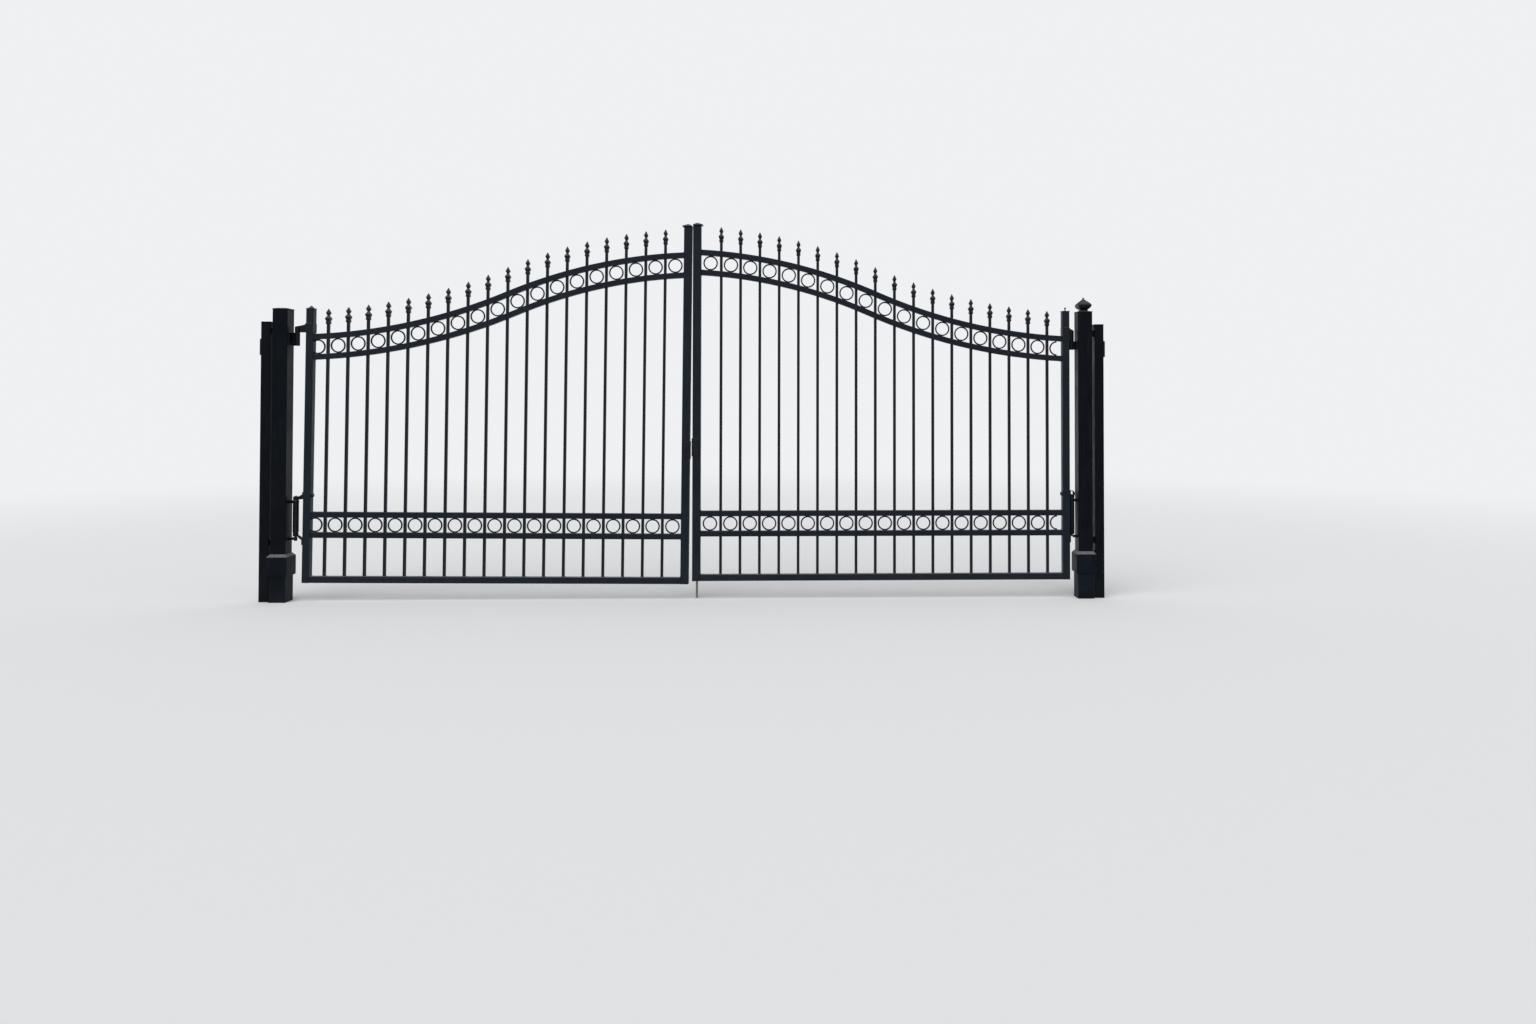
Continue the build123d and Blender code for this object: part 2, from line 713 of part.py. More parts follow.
jamb_reach = half_post + jamb_gap + jamb_width / 2
for side, x, out, axis_x in (("left", 0.0, -1, left_axis_x), ("right", right_post_x, 1, right_axis_x)):
    inner_face = x - out * half_post
    jamb_x = x + out * jamb_reach
    nodes[side + "_hinge_post"] = [hinge_post(x)]
    nodes[side + "_post_cap"] = [post_cap(x)]
    nodes[side + "_post_boot"] = [post_boot(x)]
    nodes[side + "_closer_body"] = [closer_body(axis_x, inner_face)]
    nodes[side + "_jamb_post"] = [post_tube(jamb_x, jamb_width, jamb_width, jamb_wall, 0, jamb_height)]
    half = jamb_width / 2 + jamb_cap_lip
    nodes[side + "_jamb_cap"] = [
        span_box(jamb_x - half, jamb_x + half, -half, half, jamb_height, jamb_height + jamb_cap_thickness)
    ]
    x0, x1 = sorted((x + out * half_post, x + out * (half_post + jamb_gap)))
    ties = []
    for top in (jamb_height - tie_drop, tie_low_height):
        ties.append(span_box(x0, x1, -tie_width / 2, tie_width / 2, top - tie_height, top))
    nodes[side + "_jamb_ties"] = ties
    face = x + out * (jamb_reach + jamb_width / 2)
    x0, x1 = sorted((face, face + out * wall_bracket_thickness))
    low = wall_bracket_centre - wall_bracket_height / 2
    half = wall_bracket_width / 2
    nodes[side + "_wall_bracket"] = [span_box(x0, x1, -half, half, low, low + wall_bracket_height)]
nodes["right_post_finial"] = [post_finial(right_post_x)]
nodes["left_hinge_barrel"] = [
    barrel(left_axis_x, half_post, left_barrel_height, left_strap_foot, left_strap_height)
]
nodes["right_hinge_barrel"] = [
    barrel(right_axis_x, right_post_x - half_post, right_barrel_height, right_strap_foot, right_strap_height)
]

os.makedirs("parts", exist_ok=True)
for name, solids in nodes.items():
    shape = solids[0] if len(solids) == 1 else Compound(children=solids)
    export_step(shape, "parts/" + name + ".step")

print("hinge axes at X", round(left_axis_x, 3), round(right_axis_x, 3))
print("right post at X", round(right_post_x, 3), "leaves", round(left_size, 1), round(right_size, 1))
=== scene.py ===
"""Looks of the double-leaf driveway gate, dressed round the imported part. Metres."""
import json
import math
import random
import bmesh
import bpy
from mathutils import Matrix, Vector


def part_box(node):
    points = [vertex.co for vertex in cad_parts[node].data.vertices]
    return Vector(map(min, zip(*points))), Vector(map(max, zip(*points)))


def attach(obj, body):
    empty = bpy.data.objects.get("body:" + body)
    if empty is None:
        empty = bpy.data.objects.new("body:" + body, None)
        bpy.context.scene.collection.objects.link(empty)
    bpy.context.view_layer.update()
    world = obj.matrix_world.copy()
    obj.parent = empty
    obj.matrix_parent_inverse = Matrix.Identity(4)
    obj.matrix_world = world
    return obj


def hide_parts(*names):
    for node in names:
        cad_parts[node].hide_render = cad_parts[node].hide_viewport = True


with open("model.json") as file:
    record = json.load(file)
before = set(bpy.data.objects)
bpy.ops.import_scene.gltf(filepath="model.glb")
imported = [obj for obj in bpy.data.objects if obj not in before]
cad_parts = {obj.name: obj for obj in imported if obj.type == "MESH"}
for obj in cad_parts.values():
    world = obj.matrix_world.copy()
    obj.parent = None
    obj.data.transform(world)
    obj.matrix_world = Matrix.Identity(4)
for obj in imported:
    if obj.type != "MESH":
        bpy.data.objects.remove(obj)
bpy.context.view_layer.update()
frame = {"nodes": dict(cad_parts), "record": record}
nodes = frame["nodes"]
random.seed(7)

# Colours as linear values
LEAF_BLACK = (0.0018, 0.0052, 0.0112, 1.0)
LEAF_FADED = (0.0065, 0.0110, 0.0185, 1.0)
# Painted shade: the posts' black is the leaf paint made darker to stand for the shade on the posts; the
# boots, the finial and the stile knob use it too
POST_BLACK_PAINTED_SHADE = (0.0012, 0.0017, 0.0030, 1.0)
POST_FADED_PAINTED_SHADE = (0.0036, 0.0043, 0.0064, 1.0)
FITTING_BLACK = (0.0024, 0.0036, 0.0062, 1.0)
RAIN_GREY = (0.016, 0.019, 0.024, 1.0)
RUBBED_PRIMER = (0.050, 0.054, 0.060, 1.0)
# Pale grey for road dust, and for painted top light on faces that look up
DUST_AND_PAINTED_TOP_LIGHT_GREY = (0.225, 0.226, 0.224, 1.0)
BARE_STEEL = (0.230, 0.225, 0.215, 1.0)
LIGHT_RUST = (0.085, 0.040, 0.020, 1.0)
PLAIN_SHEEN = (1.0, 1.0, 1.0, 1.0)
COOL_SHEEN = (0.70, 0.82, 1.0, 1.0)
FLOOR_TONE = (0.80, 0.80, 0.80, 1.0)
BACKDROP_TONE = (0.86, 0.875, 0.895, 1.0)
DAYLIGHT_TONE = (0.94, 0.97, 1.0, 1.0)

# Where the posts and the leaves stand; inward is the way from a post to the middle of the gate
INWARD = {"left": 1, "right": -1}
POST_X = {"left": 0.0, "right": 5.583703}
POST_HALF = 0.0508
JAMB_INNER = 0.0728
JAMB_OUTER = 0.1363
LEAF_X = {"left": 0.1508, "right": 5.478903}
LEAF_WIDTH = {"left": 2.6496, "right": 2.6537}
LEAF_CLEARANCE = 0.129
LEFT_SAG = math.radians(0.45)
HINGE_AXIS_X = {"left": 0.0888, "right": 5.502903}
HINGE_AXIS_Y = 0.020

# Bars and tubes
STILE = 0.0508
STILE_HALF = 0.0254
MEETING_STILE = 0.057
RAIL = 0.0381
BOTTOM_RAIL = 0.04445
PICKET = 0.01905
RING_RADIUS = 0.0508
RING_BAR = 0.0095
RING_ARRIS = 0.0013
RING_STEPS = 40

# Levels of the rails in a leaf's own frame
LOW_RING_RAIL = 0.438
HIGH_RING_RAIL = 0.5783
ARCH_FOOT = 1.7555
ARCH_HEAD = 2.3545
ARCH_RAIL_OFFSET = 0.0703

# Closers and their arms, with spans as (foot, top)
CLOSER_FOOT = 0.474
CLOSER_TOP = 0.696
CLOSER_RADIUS = {"left": 0.0196, "right": 0.0181}
SPINDLE_RADIUS = 0.0080
SPINDLE_SPAN = (0.4300, 0.7246)
BAND_SPAN = (0.6730, 0.6920)
BAND_BACK = 0.0340
BAND_DEPTH = 0.0140
BAND_REACH = 0.0100
BRACKET_SPAN = (0.4200, 0.4375)
BRACKET_HALF = 0.0115
BRACKET_SHORTFALL = {"left": 0.0, "right": 0.0070}
ARM_BOLT_LEVEL = 0.7306
ARM_PAD_HEIGHT = 0.044
ARM_PAD_HALF_WIDTH = 0.025
ARM_PAD_THICKNESS = 0.006
FOOT_PAD_LEVEL = 0.4148
FOOT_PAD_HEIGHT = 0.050
FORGED_FULLNESS = 0.45
EYE_BORE = 0.0084
EYE_RADIUS = 0.0180
EYE_SPAN = (0.6968, 0.7194)

# Upper hinges, latch, ties, brackets and knobs
BARREL_SPAN = {"left": (1.7634, 1.8554), "right": (1.7494, 1.8094)}
BARREL_RADIUS = 0.0161
BARREL_PLATE_HALF = 0.038
STRAP_SPAN = {"left": (1.856, 1.916), "right": (1.810, 1.902)}
LATCH_FACE_Y = -0.0314
LATCH_SEATS = {
    "left": ((2.7750, 1.0520), (2.7876, 1.0040)),
    "right": ((2.8547, 1.0693), (2.8612, 1.0345), (2.8535, 1.0105)),
}
TIE_LEVELS = (1.863, 0.407)
TIE_HALF = (0.019, 0.023)
WALL_BRACKET_LEVEL = 1.753
WALL_BRACKET_HALF = (0.022, 0.056)
STILE_CAP_TOP = 2.022
STILE_BALL_LEVEL = 2.042
FINIAL_BALL_LEVEL = 2.11225

# Legs of the welds, and where their runs lie
FRAME_WELD = 0.0042
RING_WELD = 0.0026
RING_WELD_INSET = 0.0012
RING_WELD_ASIDE = 0.0085
SADDLE_WELD = 0.0028
SADDLE_WELD_INSET = 0.002
PAD_WELD = 0.0030
PAD_WELD_HALF = 0.021
BARREL_WELD = 0.0034
BARREL_WELD_HALF = 0.036
BRACKET_WELD = 0.0026
TIE_WELD = 0.0040

# Distances below which points are one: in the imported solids, and in the pieces made here
SOLID_MERGE = 0.00002
PIECE_MERGE = 0.000001

# Widths of the eased arrises: (width, segments, least angle in degrees)
EASED_ARRISES = {
    "_hinge_post": (0.0035, 3, 50.0),
    "_jamb_post": (0.0028, 2, 50.0),
    "_hinge_stile": (0.0028, 2, 50.0),
    "_meeting_stile": (0.0028, 2, 50.0),
    "_bottom_rail": (0.0028, 2, 50.0),
    "_ring_rails": (0.0013, 2, 50.0),
    "_arch_rails": (0.0013, 2, 50.0),
    "_pickets": (0.0013, 2, 50.0),
    "_jamb_ties": (0.0010, 2, 50.0),
    "_wall_bracket": (0.0010, 2, 50.0),
    "_jamb_cap": (0.0010, 2, 50.0),
    "_latch_plate": (0.0010, 2, 50.0),
    "_post_boot": (0.0022, 3, 30.0),
    "_post_cap": (0.0012, 2, 12.0),
    "_stile_caps": (0.0010, 2, 30.0),
    "_spear_points": (0.0007, 2, 15.0),
    "_upper_hinge_strap": (0.0010, 2, 50.0),
    "_hinge_barrel": (0.0010, 2, 50.0),
}

# Light, floor and camera
GIVEN_LIGHT = 0.55
LAMP_ENERGY = 1.7
LAMP_WIDTH = math.radians(60)
LAMP_DIRECTION = (0.35, 0.75, -1.0)
FLOOR_SIZE = 40.0
FLOOR_CENTRE_X = 2.8
FLOOR_FADE = (5.5, 15.0)
CAMERA_PLACE = (3.5048, -7.4603, 1.3718)
CAMERA_YAW, CAMERA_PITCH, CAMERA_ROLL = (math.radians(a) for a in (1.8996, 1.0363, 0.0507))
FOCAL_PX = 1061.84
SHIFT_PX = (-57.18, -128.52)
PICTURE_WIDTH_PX = 1536
SENSOR_WIDTH = 36.0


# ---------------------------------------------------------------- finishes

def node_group(name, inputs, outputs):
    """Empty shader group with float inputs (name, default) and named float outputs."""
    group = bpy.data.node_groups.new(name, "ShaderNodeTree")
    for label, default in inputs:
        socket = group.interface.new_socket(label, in_out="INPUT", socket_type="NodeSocketFloat")
        socket.default_value = default
    for label in outputs:
        group.interface.new_socket(label, in_out="OUTPUT", socket_type="NodeSocketFloat")
    group.nodes.new("NodeGroupInput")
    group.nodes.new("NodeGroupOutput")
    return group


class Sheet:
    """Short hand for laying out the nodes of one tree."""

    def __init__(self, tree):
        self.tree = tree

    def add(self, kind, **settings):
        node = self.tree.nodes.new(kind)
        for key, value in settings.items():
            setattr(node, key, value)
        return node

    def link(self, source, target):
        self.tree.links.new(source, target)

    def feed(self, node, socket, value):
        if hasattr(value, "is_linked"):
            self.link(value, node.inputs[socket])
        else:
            node.inputs[socket].default_value = value

    def math(self, operation, a, b=0.0, clamp=False):
        node = self.add("ShaderNodeMath", operation=operation, use_clamp=clamp)
        self.feed(node, 0, a)
        self.feed(node, 1, b)
        return node.outputs[0]

    def spread(self, value, low, high, out_low=0.0, out_high=1.0):
        node = self.add("ShaderNodeMapRange", interpolation_type="SMOOTHSTEP")
        self.feed(node, "Value", value)
        self.feed(node, "From Min", low)
        self.feed(node, "From Max", high)
        self.feed(node, "To Min", out_low)
        self.feed(node, "To Max", out_high)
        return node.outputs[0]

    def noise(self, place, scale, detail=3.0, rough=0.55):
        node = self.add("ShaderNodeTexNoise")
        self.link(place, node.inputs["Vector"])
        self.feed(node, "Scale", scale)
        self.feed(node, "Detail", detail)
        self.feed(node, "Roughness", rough)
        return node.outputs["Fac"]

    def stretch(self, place, scale):
        node = self.add("ShaderNodeMapping")
        self.link(place, node.inputs["Vector"])
        node.inputs["Scale"].default_value = scale
        return node.outputs["Vector"]

    def split(self, vector):
        node = self.add("ShaderNodeSeparateXYZ")
        self.link(vector, node.inputs[0])
        return node.outputs

    def object_place(self):
        return self.add("ShaderNodeTexCoord").outputs["Object"]

    def face_normal(self):
        return self.add("ShaderNodeNewGeometry").outputs["Normal"]

    def colour_mix(self, mask, a, b):
        node = self.add("ShaderNodeMix", data_type="RGBA")
        self.feed(node, 0, mask)
        self.feed(node, 6, a)
        self.feed(node, 7, b)
        return node.outputs[2]

    def group(self, group, **values):
        node = self.add("ShaderNodeGroup")
        node.node_tree = group
        for label, value in values.items():
            self.feed(node, label.replace("_", " "), value)
        return node


def group_ends(group):
    """Sheet of a group with what it is given, what it is asked for, and the object's own place."""
    sheet = Sheet(group)
    given = next(node for node in group.nodes if node.type == "GROUP_INPUT")
    asked = next(node for node in group.nodes if node.type == "GROUP_OUTPUT")
    return sheet, given.outputs, asked.inputs, sheet.object_place()


def build_paint_texture():
    """Brushed and slightly pebbled paint: a height, and a slow change of sheen."""
    inputs = [("Pebble Size", 0.0025), ("Brush Depth", 0.4)]
    sheet, given, asked, place = group_ends(node_group("paint_texture", inputs, ["Height", "Sheen Change"]))
    pebbles = sheet.noise(place, sheet.math("DIVIDE", 1.0, given["Pebble Size"]), detail=2.0)
    upright = sheet.stretch(place, (900.0, 900.0, 26.0))
    brush = sheet.noise(upright, 1.0, detail=2.0, rough=0.6)
    strokes = sheet.math("MULTIPLY", brush, given["Brush Depth"])
    sheet.link(sheet.math("ADD", pebbles, strokes), asked["Height"])
    slow = sheet.noise(place, 7.0, detail=4.0, rough=0.6)
    sheet.link(sheet.spread(slow, 0.32, 0.70), asked["Sheen Change"])
    return sheet.tree


def build_rubbed_edges():
    """Mask of the arrises where paint wears thin first."""
    inputs = [("Reach", 0.002), ("Amount", 0.5)]
    sheet, given, asked, place = group_ends(node_group("rubbed_edges", inputs, ["Rub"]))
    rounded = sheet.add("ShaderNodeBevel", samples=6)
    sheet.link(given["Reach"], rounded.inputs["Radius"])
    likeness = sheet.add("ShaderNodeVectorMath", operation="DOT_PRODUCT")
    sheet.link(rounded.outputs["Normal"], likeness.inputs[0])
    sheet.link(sheet.face_normal(), likeness.inputs[1])
    turned = sheet.math("SUBTRACT", 1.0, likeness.outputs["Value"])
    edge = sheet.spread(turned, 0.015, 0.20)
    broken = sheet.spread(sheet.noise(place, 85.0, detail=4.0, rough=0.65), 0.47, 0.66)
    rub = sheet.math("MULTIPLY", edge, broken)
    sheet.link(sheet.math("MULTIPLY", rub, given["Amount"], clamp=True), asked["Rub"])
    return sheet.tree


def build_settled_dust_and_painted_top_light():
    """Mask of road dust thrown up near the ground, and of a pale film on faces that look up, which is
    partly lying dust and partly painted top light.
    """
    inputs = [("Splash Height", 0.40), ("Splash", 0.5), ("Lying", 0.5)]
    sheet, given, asked, place = group_ends(node_group("settled_dust_and_painted_top_light", inputs, ["Dust"]))
    height = sheet.split(place)["Z"]
    low = sheet.math("SUBTRACT", 1.0, sheet.math("DIVIDE", height, given["Splash Height"]), clamp=True)
    fine = sheet.spread(sheet.noise(place, 90.0, detail=5.0, rough=0.7), 0.30, 0.80, 0.35, 1.0)
    broad = sheet.spread(sheet.noise(place, 9.0, rough=0.5), 0.30, 0.70, 0.55, 1.0)
    patches = sheet.math("MULTIPLY", low, fine)
    splash = sheet.math("MULTIPLY", patches, sheet.math("MULTIPLY", broad, given["Splash"]))
    # Painted top light: faces that look up are made paler, partly as lying dust and partly as painted sky
    # light on their tops
    upward = sheet.spread(sheet.split(sheet.face_normal())["Z"], 0.30, 0.90)
    film = sheet.spread(sheet.noise(place, 60.0, detail=4.0, rough=0.6), 0.25, 0.75, 0.60, 1.0)
    lying_dust_and_top_light = sheet.math("MULTIPLY", sheet.math("MULTIPLY", upward, film), given["Lying"])
    sheet.link(sheet.math("ADD", splash, lying_dust_and_top_light, clamp=True), asked["Dust"])
    return sheet.tree


def build_rain_marks():
    """Mask of faint upright streaks left by rain."""
    inputs = [("Streak Width", 0.012), ("Amount", 0.5)]
    sheet, given, asked, place = group_ends(node_group("rain_marks", inputs, ["Streak"]))
    upright = sheet.stretch(place, (1.0, 1.0, 0.045))
    streaks = sheet.noise(upright, sheet.math("DIVIDE", 1.0, given["Streak Width"]))
    patches = sheet.spread(sheet.noise(place, 3.0, rough=0.5), 0.40, 0.66)
    mask = sheet.math("MULTIPLY", sheet.spread(streaks, 0.48, 0.68), patches)
    sheet.link(sheet.math("MULTIPLY", mask, given["Amount"], clamp=True), asked["Streak"])
    return sheet.tree


def build_casting_grain():
    """Height of a sand casting's skin."""
    inputs = [("Grain Size", 0.0012), ("Lump Size", 0.009)]
    sheet, given, asked, place = group_ends(node_group("casting_grain", inputs, ["Height"]))
    fine = sheet.noise(place, sheet.math("DIVIDE", 1.0, given["Grain Size"]), rough=0.7)
    lumps = sheet.noise(place, sheet.math("DIVIDE", 1.0, given["Lump Size"]), detail=2.0, rough=0.5)
    sheet.link(sheet.math("ADD", fine, sheet.math("MULTIPLY", lumps, 1.6)), asked["Height"])
    return sheet.tree


paint_texture = build_paint_texture()
rubbed_edges = build_rubbed_edges()
settled_dust_and_painted_top_light = build_settled_dust_and_painted_top_light()
rain_marks = build_rain_marks()
casting_grain = build_casting_grain()


def new_material(name):
    """Fresh material with its sheet and its shader."""
    material = bpy.data.materials.new(name)
    material.use_nodes = True
    return material, Sheet(material.node_tree), material.node_tree.nodes["Principled BSDF"]


def add_relief(sheet, shader, height, strength, distance):
    """Small unevenness of a surface, from a height."""
    bump = sheet.add("ShaderNodeBump")
    bump.inputs["Strength"].default_value = strength
    bump.inputs["Distance"].default_value = distance
    sheet.link(height, bump.inputs["Height"])
    sheet.link(bump.outputs["Normal"], shader.inputs["Normal"])


def painted_metal(
    name, colour, faded, sheen, gloss, pebble, brush, relief, reach, rub, splash, lying_dust_and_top_light, streak,
    cast=False, tint=PLAIN_SHEEN,
):
    """Satin black paint on iron, with its relief, rub, dust and rain marks, and painted top light on faces
    that look up.
    """
    material, sheet, shader = new_material(name)
    texture = sheet.group(paint_texture, Pebble_Size=pebble, Brush_Depth=brush).outputs
    edges = sheet.group(rubbed_edges, Reach=reach, Amount=rub)
    # Road dust near the ground, and painted top light with some dust on faces that look up
    dust_and_top_light = sheet.group(settled_dust_and_painted_top_light, Splash=splash, Lying=lying_dust_and_top_light).outputs["Dust"]
    rain = sheet.group(rain_marks, Amount=streak).outputs["Streak"]
    aged = sheet.colour_mix(sheet.math("MULTIPLY", texture["Sheen Change"], 0.5), colour, faded)
    streaked = sheet.colour_mix(rain, aged, RAIN_GREY)
    rubbed = sheet.colour_mix(edges.outputs["Rub"], streaked, RUBBED_PRIMER)
    sheet.link(sheet.colour_mix(dust_and_top_light, rubbed, DUST_AND_PAINTED_TOP_LIGHT_GREY), shader.inputs["Base Color"])
    satin = sheet.spread(texture["Sheen Change"], 0.0, 1.0, sheen - 0.05, sheen + 0.07)
    marked = sheet.math("ADD", satin, sheet.math("MULTIPLY", rain, 0.10))
    rough = sheet.math("ADD", marked, sheet.math("MULTIPLY", dust_and_top_light, 0.40), clamp=True)
    sheet.link(rough, shader.inputs["Roughness"])
    height = texture["Height"]
    if cast:
        grain = sheet.group(casting_grain)
        height = sheet.math("ADD", sheet.math("MULTIPLY", height, 0.4), grain.outputs["Height"])
    add_relief(sheet, shader, height, relief, 0.0004)
    shader.inputs["IOR"].default_value = 1.46
    shader.inputs["Specular IOR Level"].default_value = gloss
    shader.inputs["Specular Tint"].default_value = tint
    return material


def worn_rod():
    """Painted steel rod whose sliding end is worn to dull metal with a little rust."""
    material, sheet, shader = new_material("worn_drop_rod")
    place = sheet.object_place()
    ragged = sheet.math("MULTIPLY", sheet.noise(place, 60.0, detail=4.0, rough=0.6), 0.16)
    line = sheet.math("SUBTRACT", sheet.split(place)["Z"], ragged)
    worn = sheet.spread(line, 0.02, 0.16, 1.0, 0.0)
    rust = sheet.spread(sheet.noise(place, 130.0, detail=4.0, rough=0.7), 0.50, 0.68)
    steel = sheet.colour_mix(rust, BARE_STEEL, LIGHT_RUST)
    sheet.link(sheet.colour_mix(worn, FITTING_BLACK, steel), shader.inputs["Base Color"])
    clean = sheet.math("SUBTRACT", 1.0, rust)
    sheet.link(sheet.math("MULTIPLY", worn, clean), shader.inputs["Metallic"])
    sheet.link(sheet.spread(worn, 0.0, 1.0, 0.36, 0.50), shader.inputs["Roughness"])
    texture = sheet.group(paint_texture, Pebble_Size=0.0016, Brush_Depth=0.7)
    add_relief(sheet, shader, texture.outputs["Height"], 0.25, 0.0003)
    shader.inputs["Specular IOR Level"].default_value = 0.2
    return material


finishes = {
    "frame_paint": painted_metal(
        "satin_black_frame", LEAF_BLACK, LEAF_FADED, sheen=0.42, gloss=0.18, pebble=0.0026, brush=0.35,
        relief=0.22, reach=0.0016, rub=0.25, splash=0.05, lying_dust_and_top_light=0.38, streak=0.30,
    ),
    # Posts in painted shade: a darker copy of the leaf paint, with a lower gloss
    "post_paint": painted_metal(
        "satin_black_posts_in_painted_shade", POST_BLACK_PAINTED_SHADE, POST_FADED_PAINTED_SHADE, sheen=0.40, gloss=0.09, pebble=0.0032, brush=0.45,
        relief=0.24, reach=0.0024, rub=0.30, splash=0.04, lying_dust_and_top_light=0.45, streak=0.25, tint=COOL_SHEEN,
    ),
    # Boots in the posts' painted shade, with dust and painted top light
    "boot_paint": painted_metal(
        "black_boots_in_painted_shade_with_dust_and_top_light", POST_BLACK_PAINTED_SHADE, LEAF_FADED, sheen=0.48, gloss=0.10, pebble=0.0024, brush=0.20,
        relief=0.30, reach=0.0026, rub=0.45, splash=0.03, lying_dust_and_top_light=1.0, streak=0.25, cast=True,
        tint=COOL_SHEEN,
    ),
    "cast_points": painted_metal(
        "black_castings", LEAF_BLACK, LEAF_FADED, sheen=0.40, gloss=0.18, pebble=0.0020, brush=0.10,
        relief=0.32, reach=0.0012, rub=0.35, splash=0.0, lying_dust_and_top_light=0.55, streak=0.10, cast=True,
    ),
    "fitting_paint": painted_metal(
        "rubbed_black_fittings", FITTING_BLACK, LEAF_FADED, sheen=0.38, gloss=0.18, pebble=0.0022,
        brush=0.25, relief=0.24, reach=0.0014, rub=0.60, splash=0.05, lying_dust_and_top_light=0.60, streak=0.20,
    ),
    "rod_steel": worn_rod(),
}
weld_finish = painted_metal(
    "painted_welds", LEAF_BLACK, LEAF_FADED, sheen=0.36, gloss=0.20, pebble=0.0030, brush=0.0,
    relief=0.45, reach=0.0010, rub=0.25, splash=0.05, lying_dust_and_top_light=0.45, streak=0.10, cast=True,
)
# Finial and stile knob in the posts' painted shade
finial_finish = painted_metal(
    "black_finial_casting_in_painted_shade", POST_BLACK_PAINTED_SHADE, LEAF_FADED, sheen=0.36, gloss=0.16, pebble=0.0024, brush=0.10,
    relief=0.35, reach=0.0020, rub=0.35, splash=0.0, lying_dust_and_top_light=0.22, streak=0.10, cast=True,
)

node_slot = {part["node"]: part["material_slot"] for part in frame["record"]["subparts"]}
for name, obj in nodes.items():
    obj.data.materials.clear()
    obj.data.materials.append(finishes[node_slot[name]])


# ---------------------------------------------------------------- eased arrises of the solids

def ease(name, width, segments=2, angle=50.0):
    """Close a node's facets into one skin and round its arrises a little."""
    obj = nodes[name]
    skin = obj.modifiers.new("closed skin", "WELD")
    skin.merge_threshold = SOLID_MERGE
    bevel = obj.modifiers.new("eased arris", "BEVEL")
    bevel.width = width
    bevel.segments = segments
    bevel.limit_method = "ANGLE"
    bevel.angle_limit = math.radians(angle)
    bevel.harden_normals = False
    bevel.loop_slide = False


for side in ("left", "right"):
    for part, widths in EASED_ARRISES.items():
        ease(side + part, *widths)
ease("drop_rod_guides", 0.0010)


# ---------------------------------------------------------------- modelling helpers

def leaf_place(side):
    """Turns a leaf's level frame, hinge stile face at X 0, into its place in the gate."""
    stand = Matrix.Translation((LEAF_X[side], 0, 0))
    if side == "right":
        return stand @ Matrix.Scale(-1, 4, (1, 0, 0))
    foot = Matrix.Translation((0, 0, LEAF_CLEARANCE))
    hang = Matrix.Rotation(LEFT_SAG, 4, "Y")
    return stand @ foot @ hang @ foot.inverted()


def post_face(side):
    """X of the hinge post's face that looks to its leaf."""
    return POST_X[side] + INWARD[side] * POST_HALF


def separate_solids(name):
    """Boxes of the separate solids in a node, lowest X first."""
    bm = bmesh.new()
    bm.from_mesh(nodes[name].data)
    bmesh.ops.remove_doubles(bm, verts=bm.verts, dist=SOLID_MERGE)
    left = set(bm.verts)
    boxes = []
    while left:
        stack = [left.pop()]
        low = Vector(stack[0].co)
        high = Vector(stack[0].co)
        while stack:
            vert = stack.pop()
            for i in range(3):
                low[i] = min(low[i], vert.co[i])
                high[i] = max(high[i], vert.co[i])
            for edge in vert.link_edges:
                other = edge.other_vert(vert)
                if other in left:
                    left.remove(other)
                    stack.append(other)
        boxes.append((low, high))
    bm.free()
    return sorted(boxes, key=lambda box: box[0].x)


def made_since(bm, start):
    """Points of a bmesh that are not in the set taken at the start."""
    return [vert for vert in bm.verts if vert not in start]


def mesh_from(name, bm):
    """Mesh of a bmesh, which is then freed."""
    mesh = bpy.data.meshes.new(name)
    bm.to_mesh(mesh)
    bm.free()
    return mesh


def add_object(name, data):
    """Object with the given data, in the scene."""
    obj = bpy.data.objects.new(name, data)
    bpy.context.scene.collection.objects.link(obj)
    return obj


def finish_piece(name, bm, body, slot, material=None, place=None, crease=32.0):
    """Turn a bmesh into a piece that rides on a body, in its slot's finish unless one is given."""
    if place is not None:
        bmesh.ops.transform(bm, matrix=place, verts=bm.verts)
    bmesh.ops.recalc_face_normals(bm, faces=bm.faces)
    mesh = mesh_from(name, bm)
    for face in mesh.polygons:
        face.use_smooth = True
    mesh.set_sharp_from_angle(angle=math.radians(crease))
    mesh.materials.append(material or finishes[slot])
    obj = add_object(name, mesh)
    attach(obj, body)
    return obj


def facing(axis):
    """Turn that takes +Z to the given direction."""
    return Vector(axis).to_track_quat("Z", "Y").to_matrix().to_4x4()


def weld_bead(bm, centre, axis, half_length, leg, steps=5, sides=6):
    """Run of weld lying along an axis: a round-ended bead with small ripples."""
    made = bmesh.ops.create_uvsphere(bm, u_segments=sides, v_segments=steps, radius=1.0)["verts"]
    for vert in made:
        around = math.sqrt(max(0.0, 1.0 - vert.co.z ** 2))
        swell = random.uniform(0.88, 1.12) * min(1.0, 1.9 * around) / max(around, 0.001)
        along = math.asin(max(-1.0, min(1.0, vert.co.z))) / (math.pi / 2)
        vert.co = Vector((vert.co.x * leg * swell, vert.co.y * leg * swell, along * half_length))
    bmesh.ops.transform(bm, matrix=Matrix.Translation(centre) @ facing(axis), verts=made)


def weld_run(bm, start, end, leg):
    """Rippled bead between two points of a joint."""
    start = Vector(start)
    end = Vector(end)
    half = (end - start).length / 2
    weld_bead(bm, (start + end) / 2, end - start, half, leg, steps=max(6, round(half / 0.0022)), sides=8)


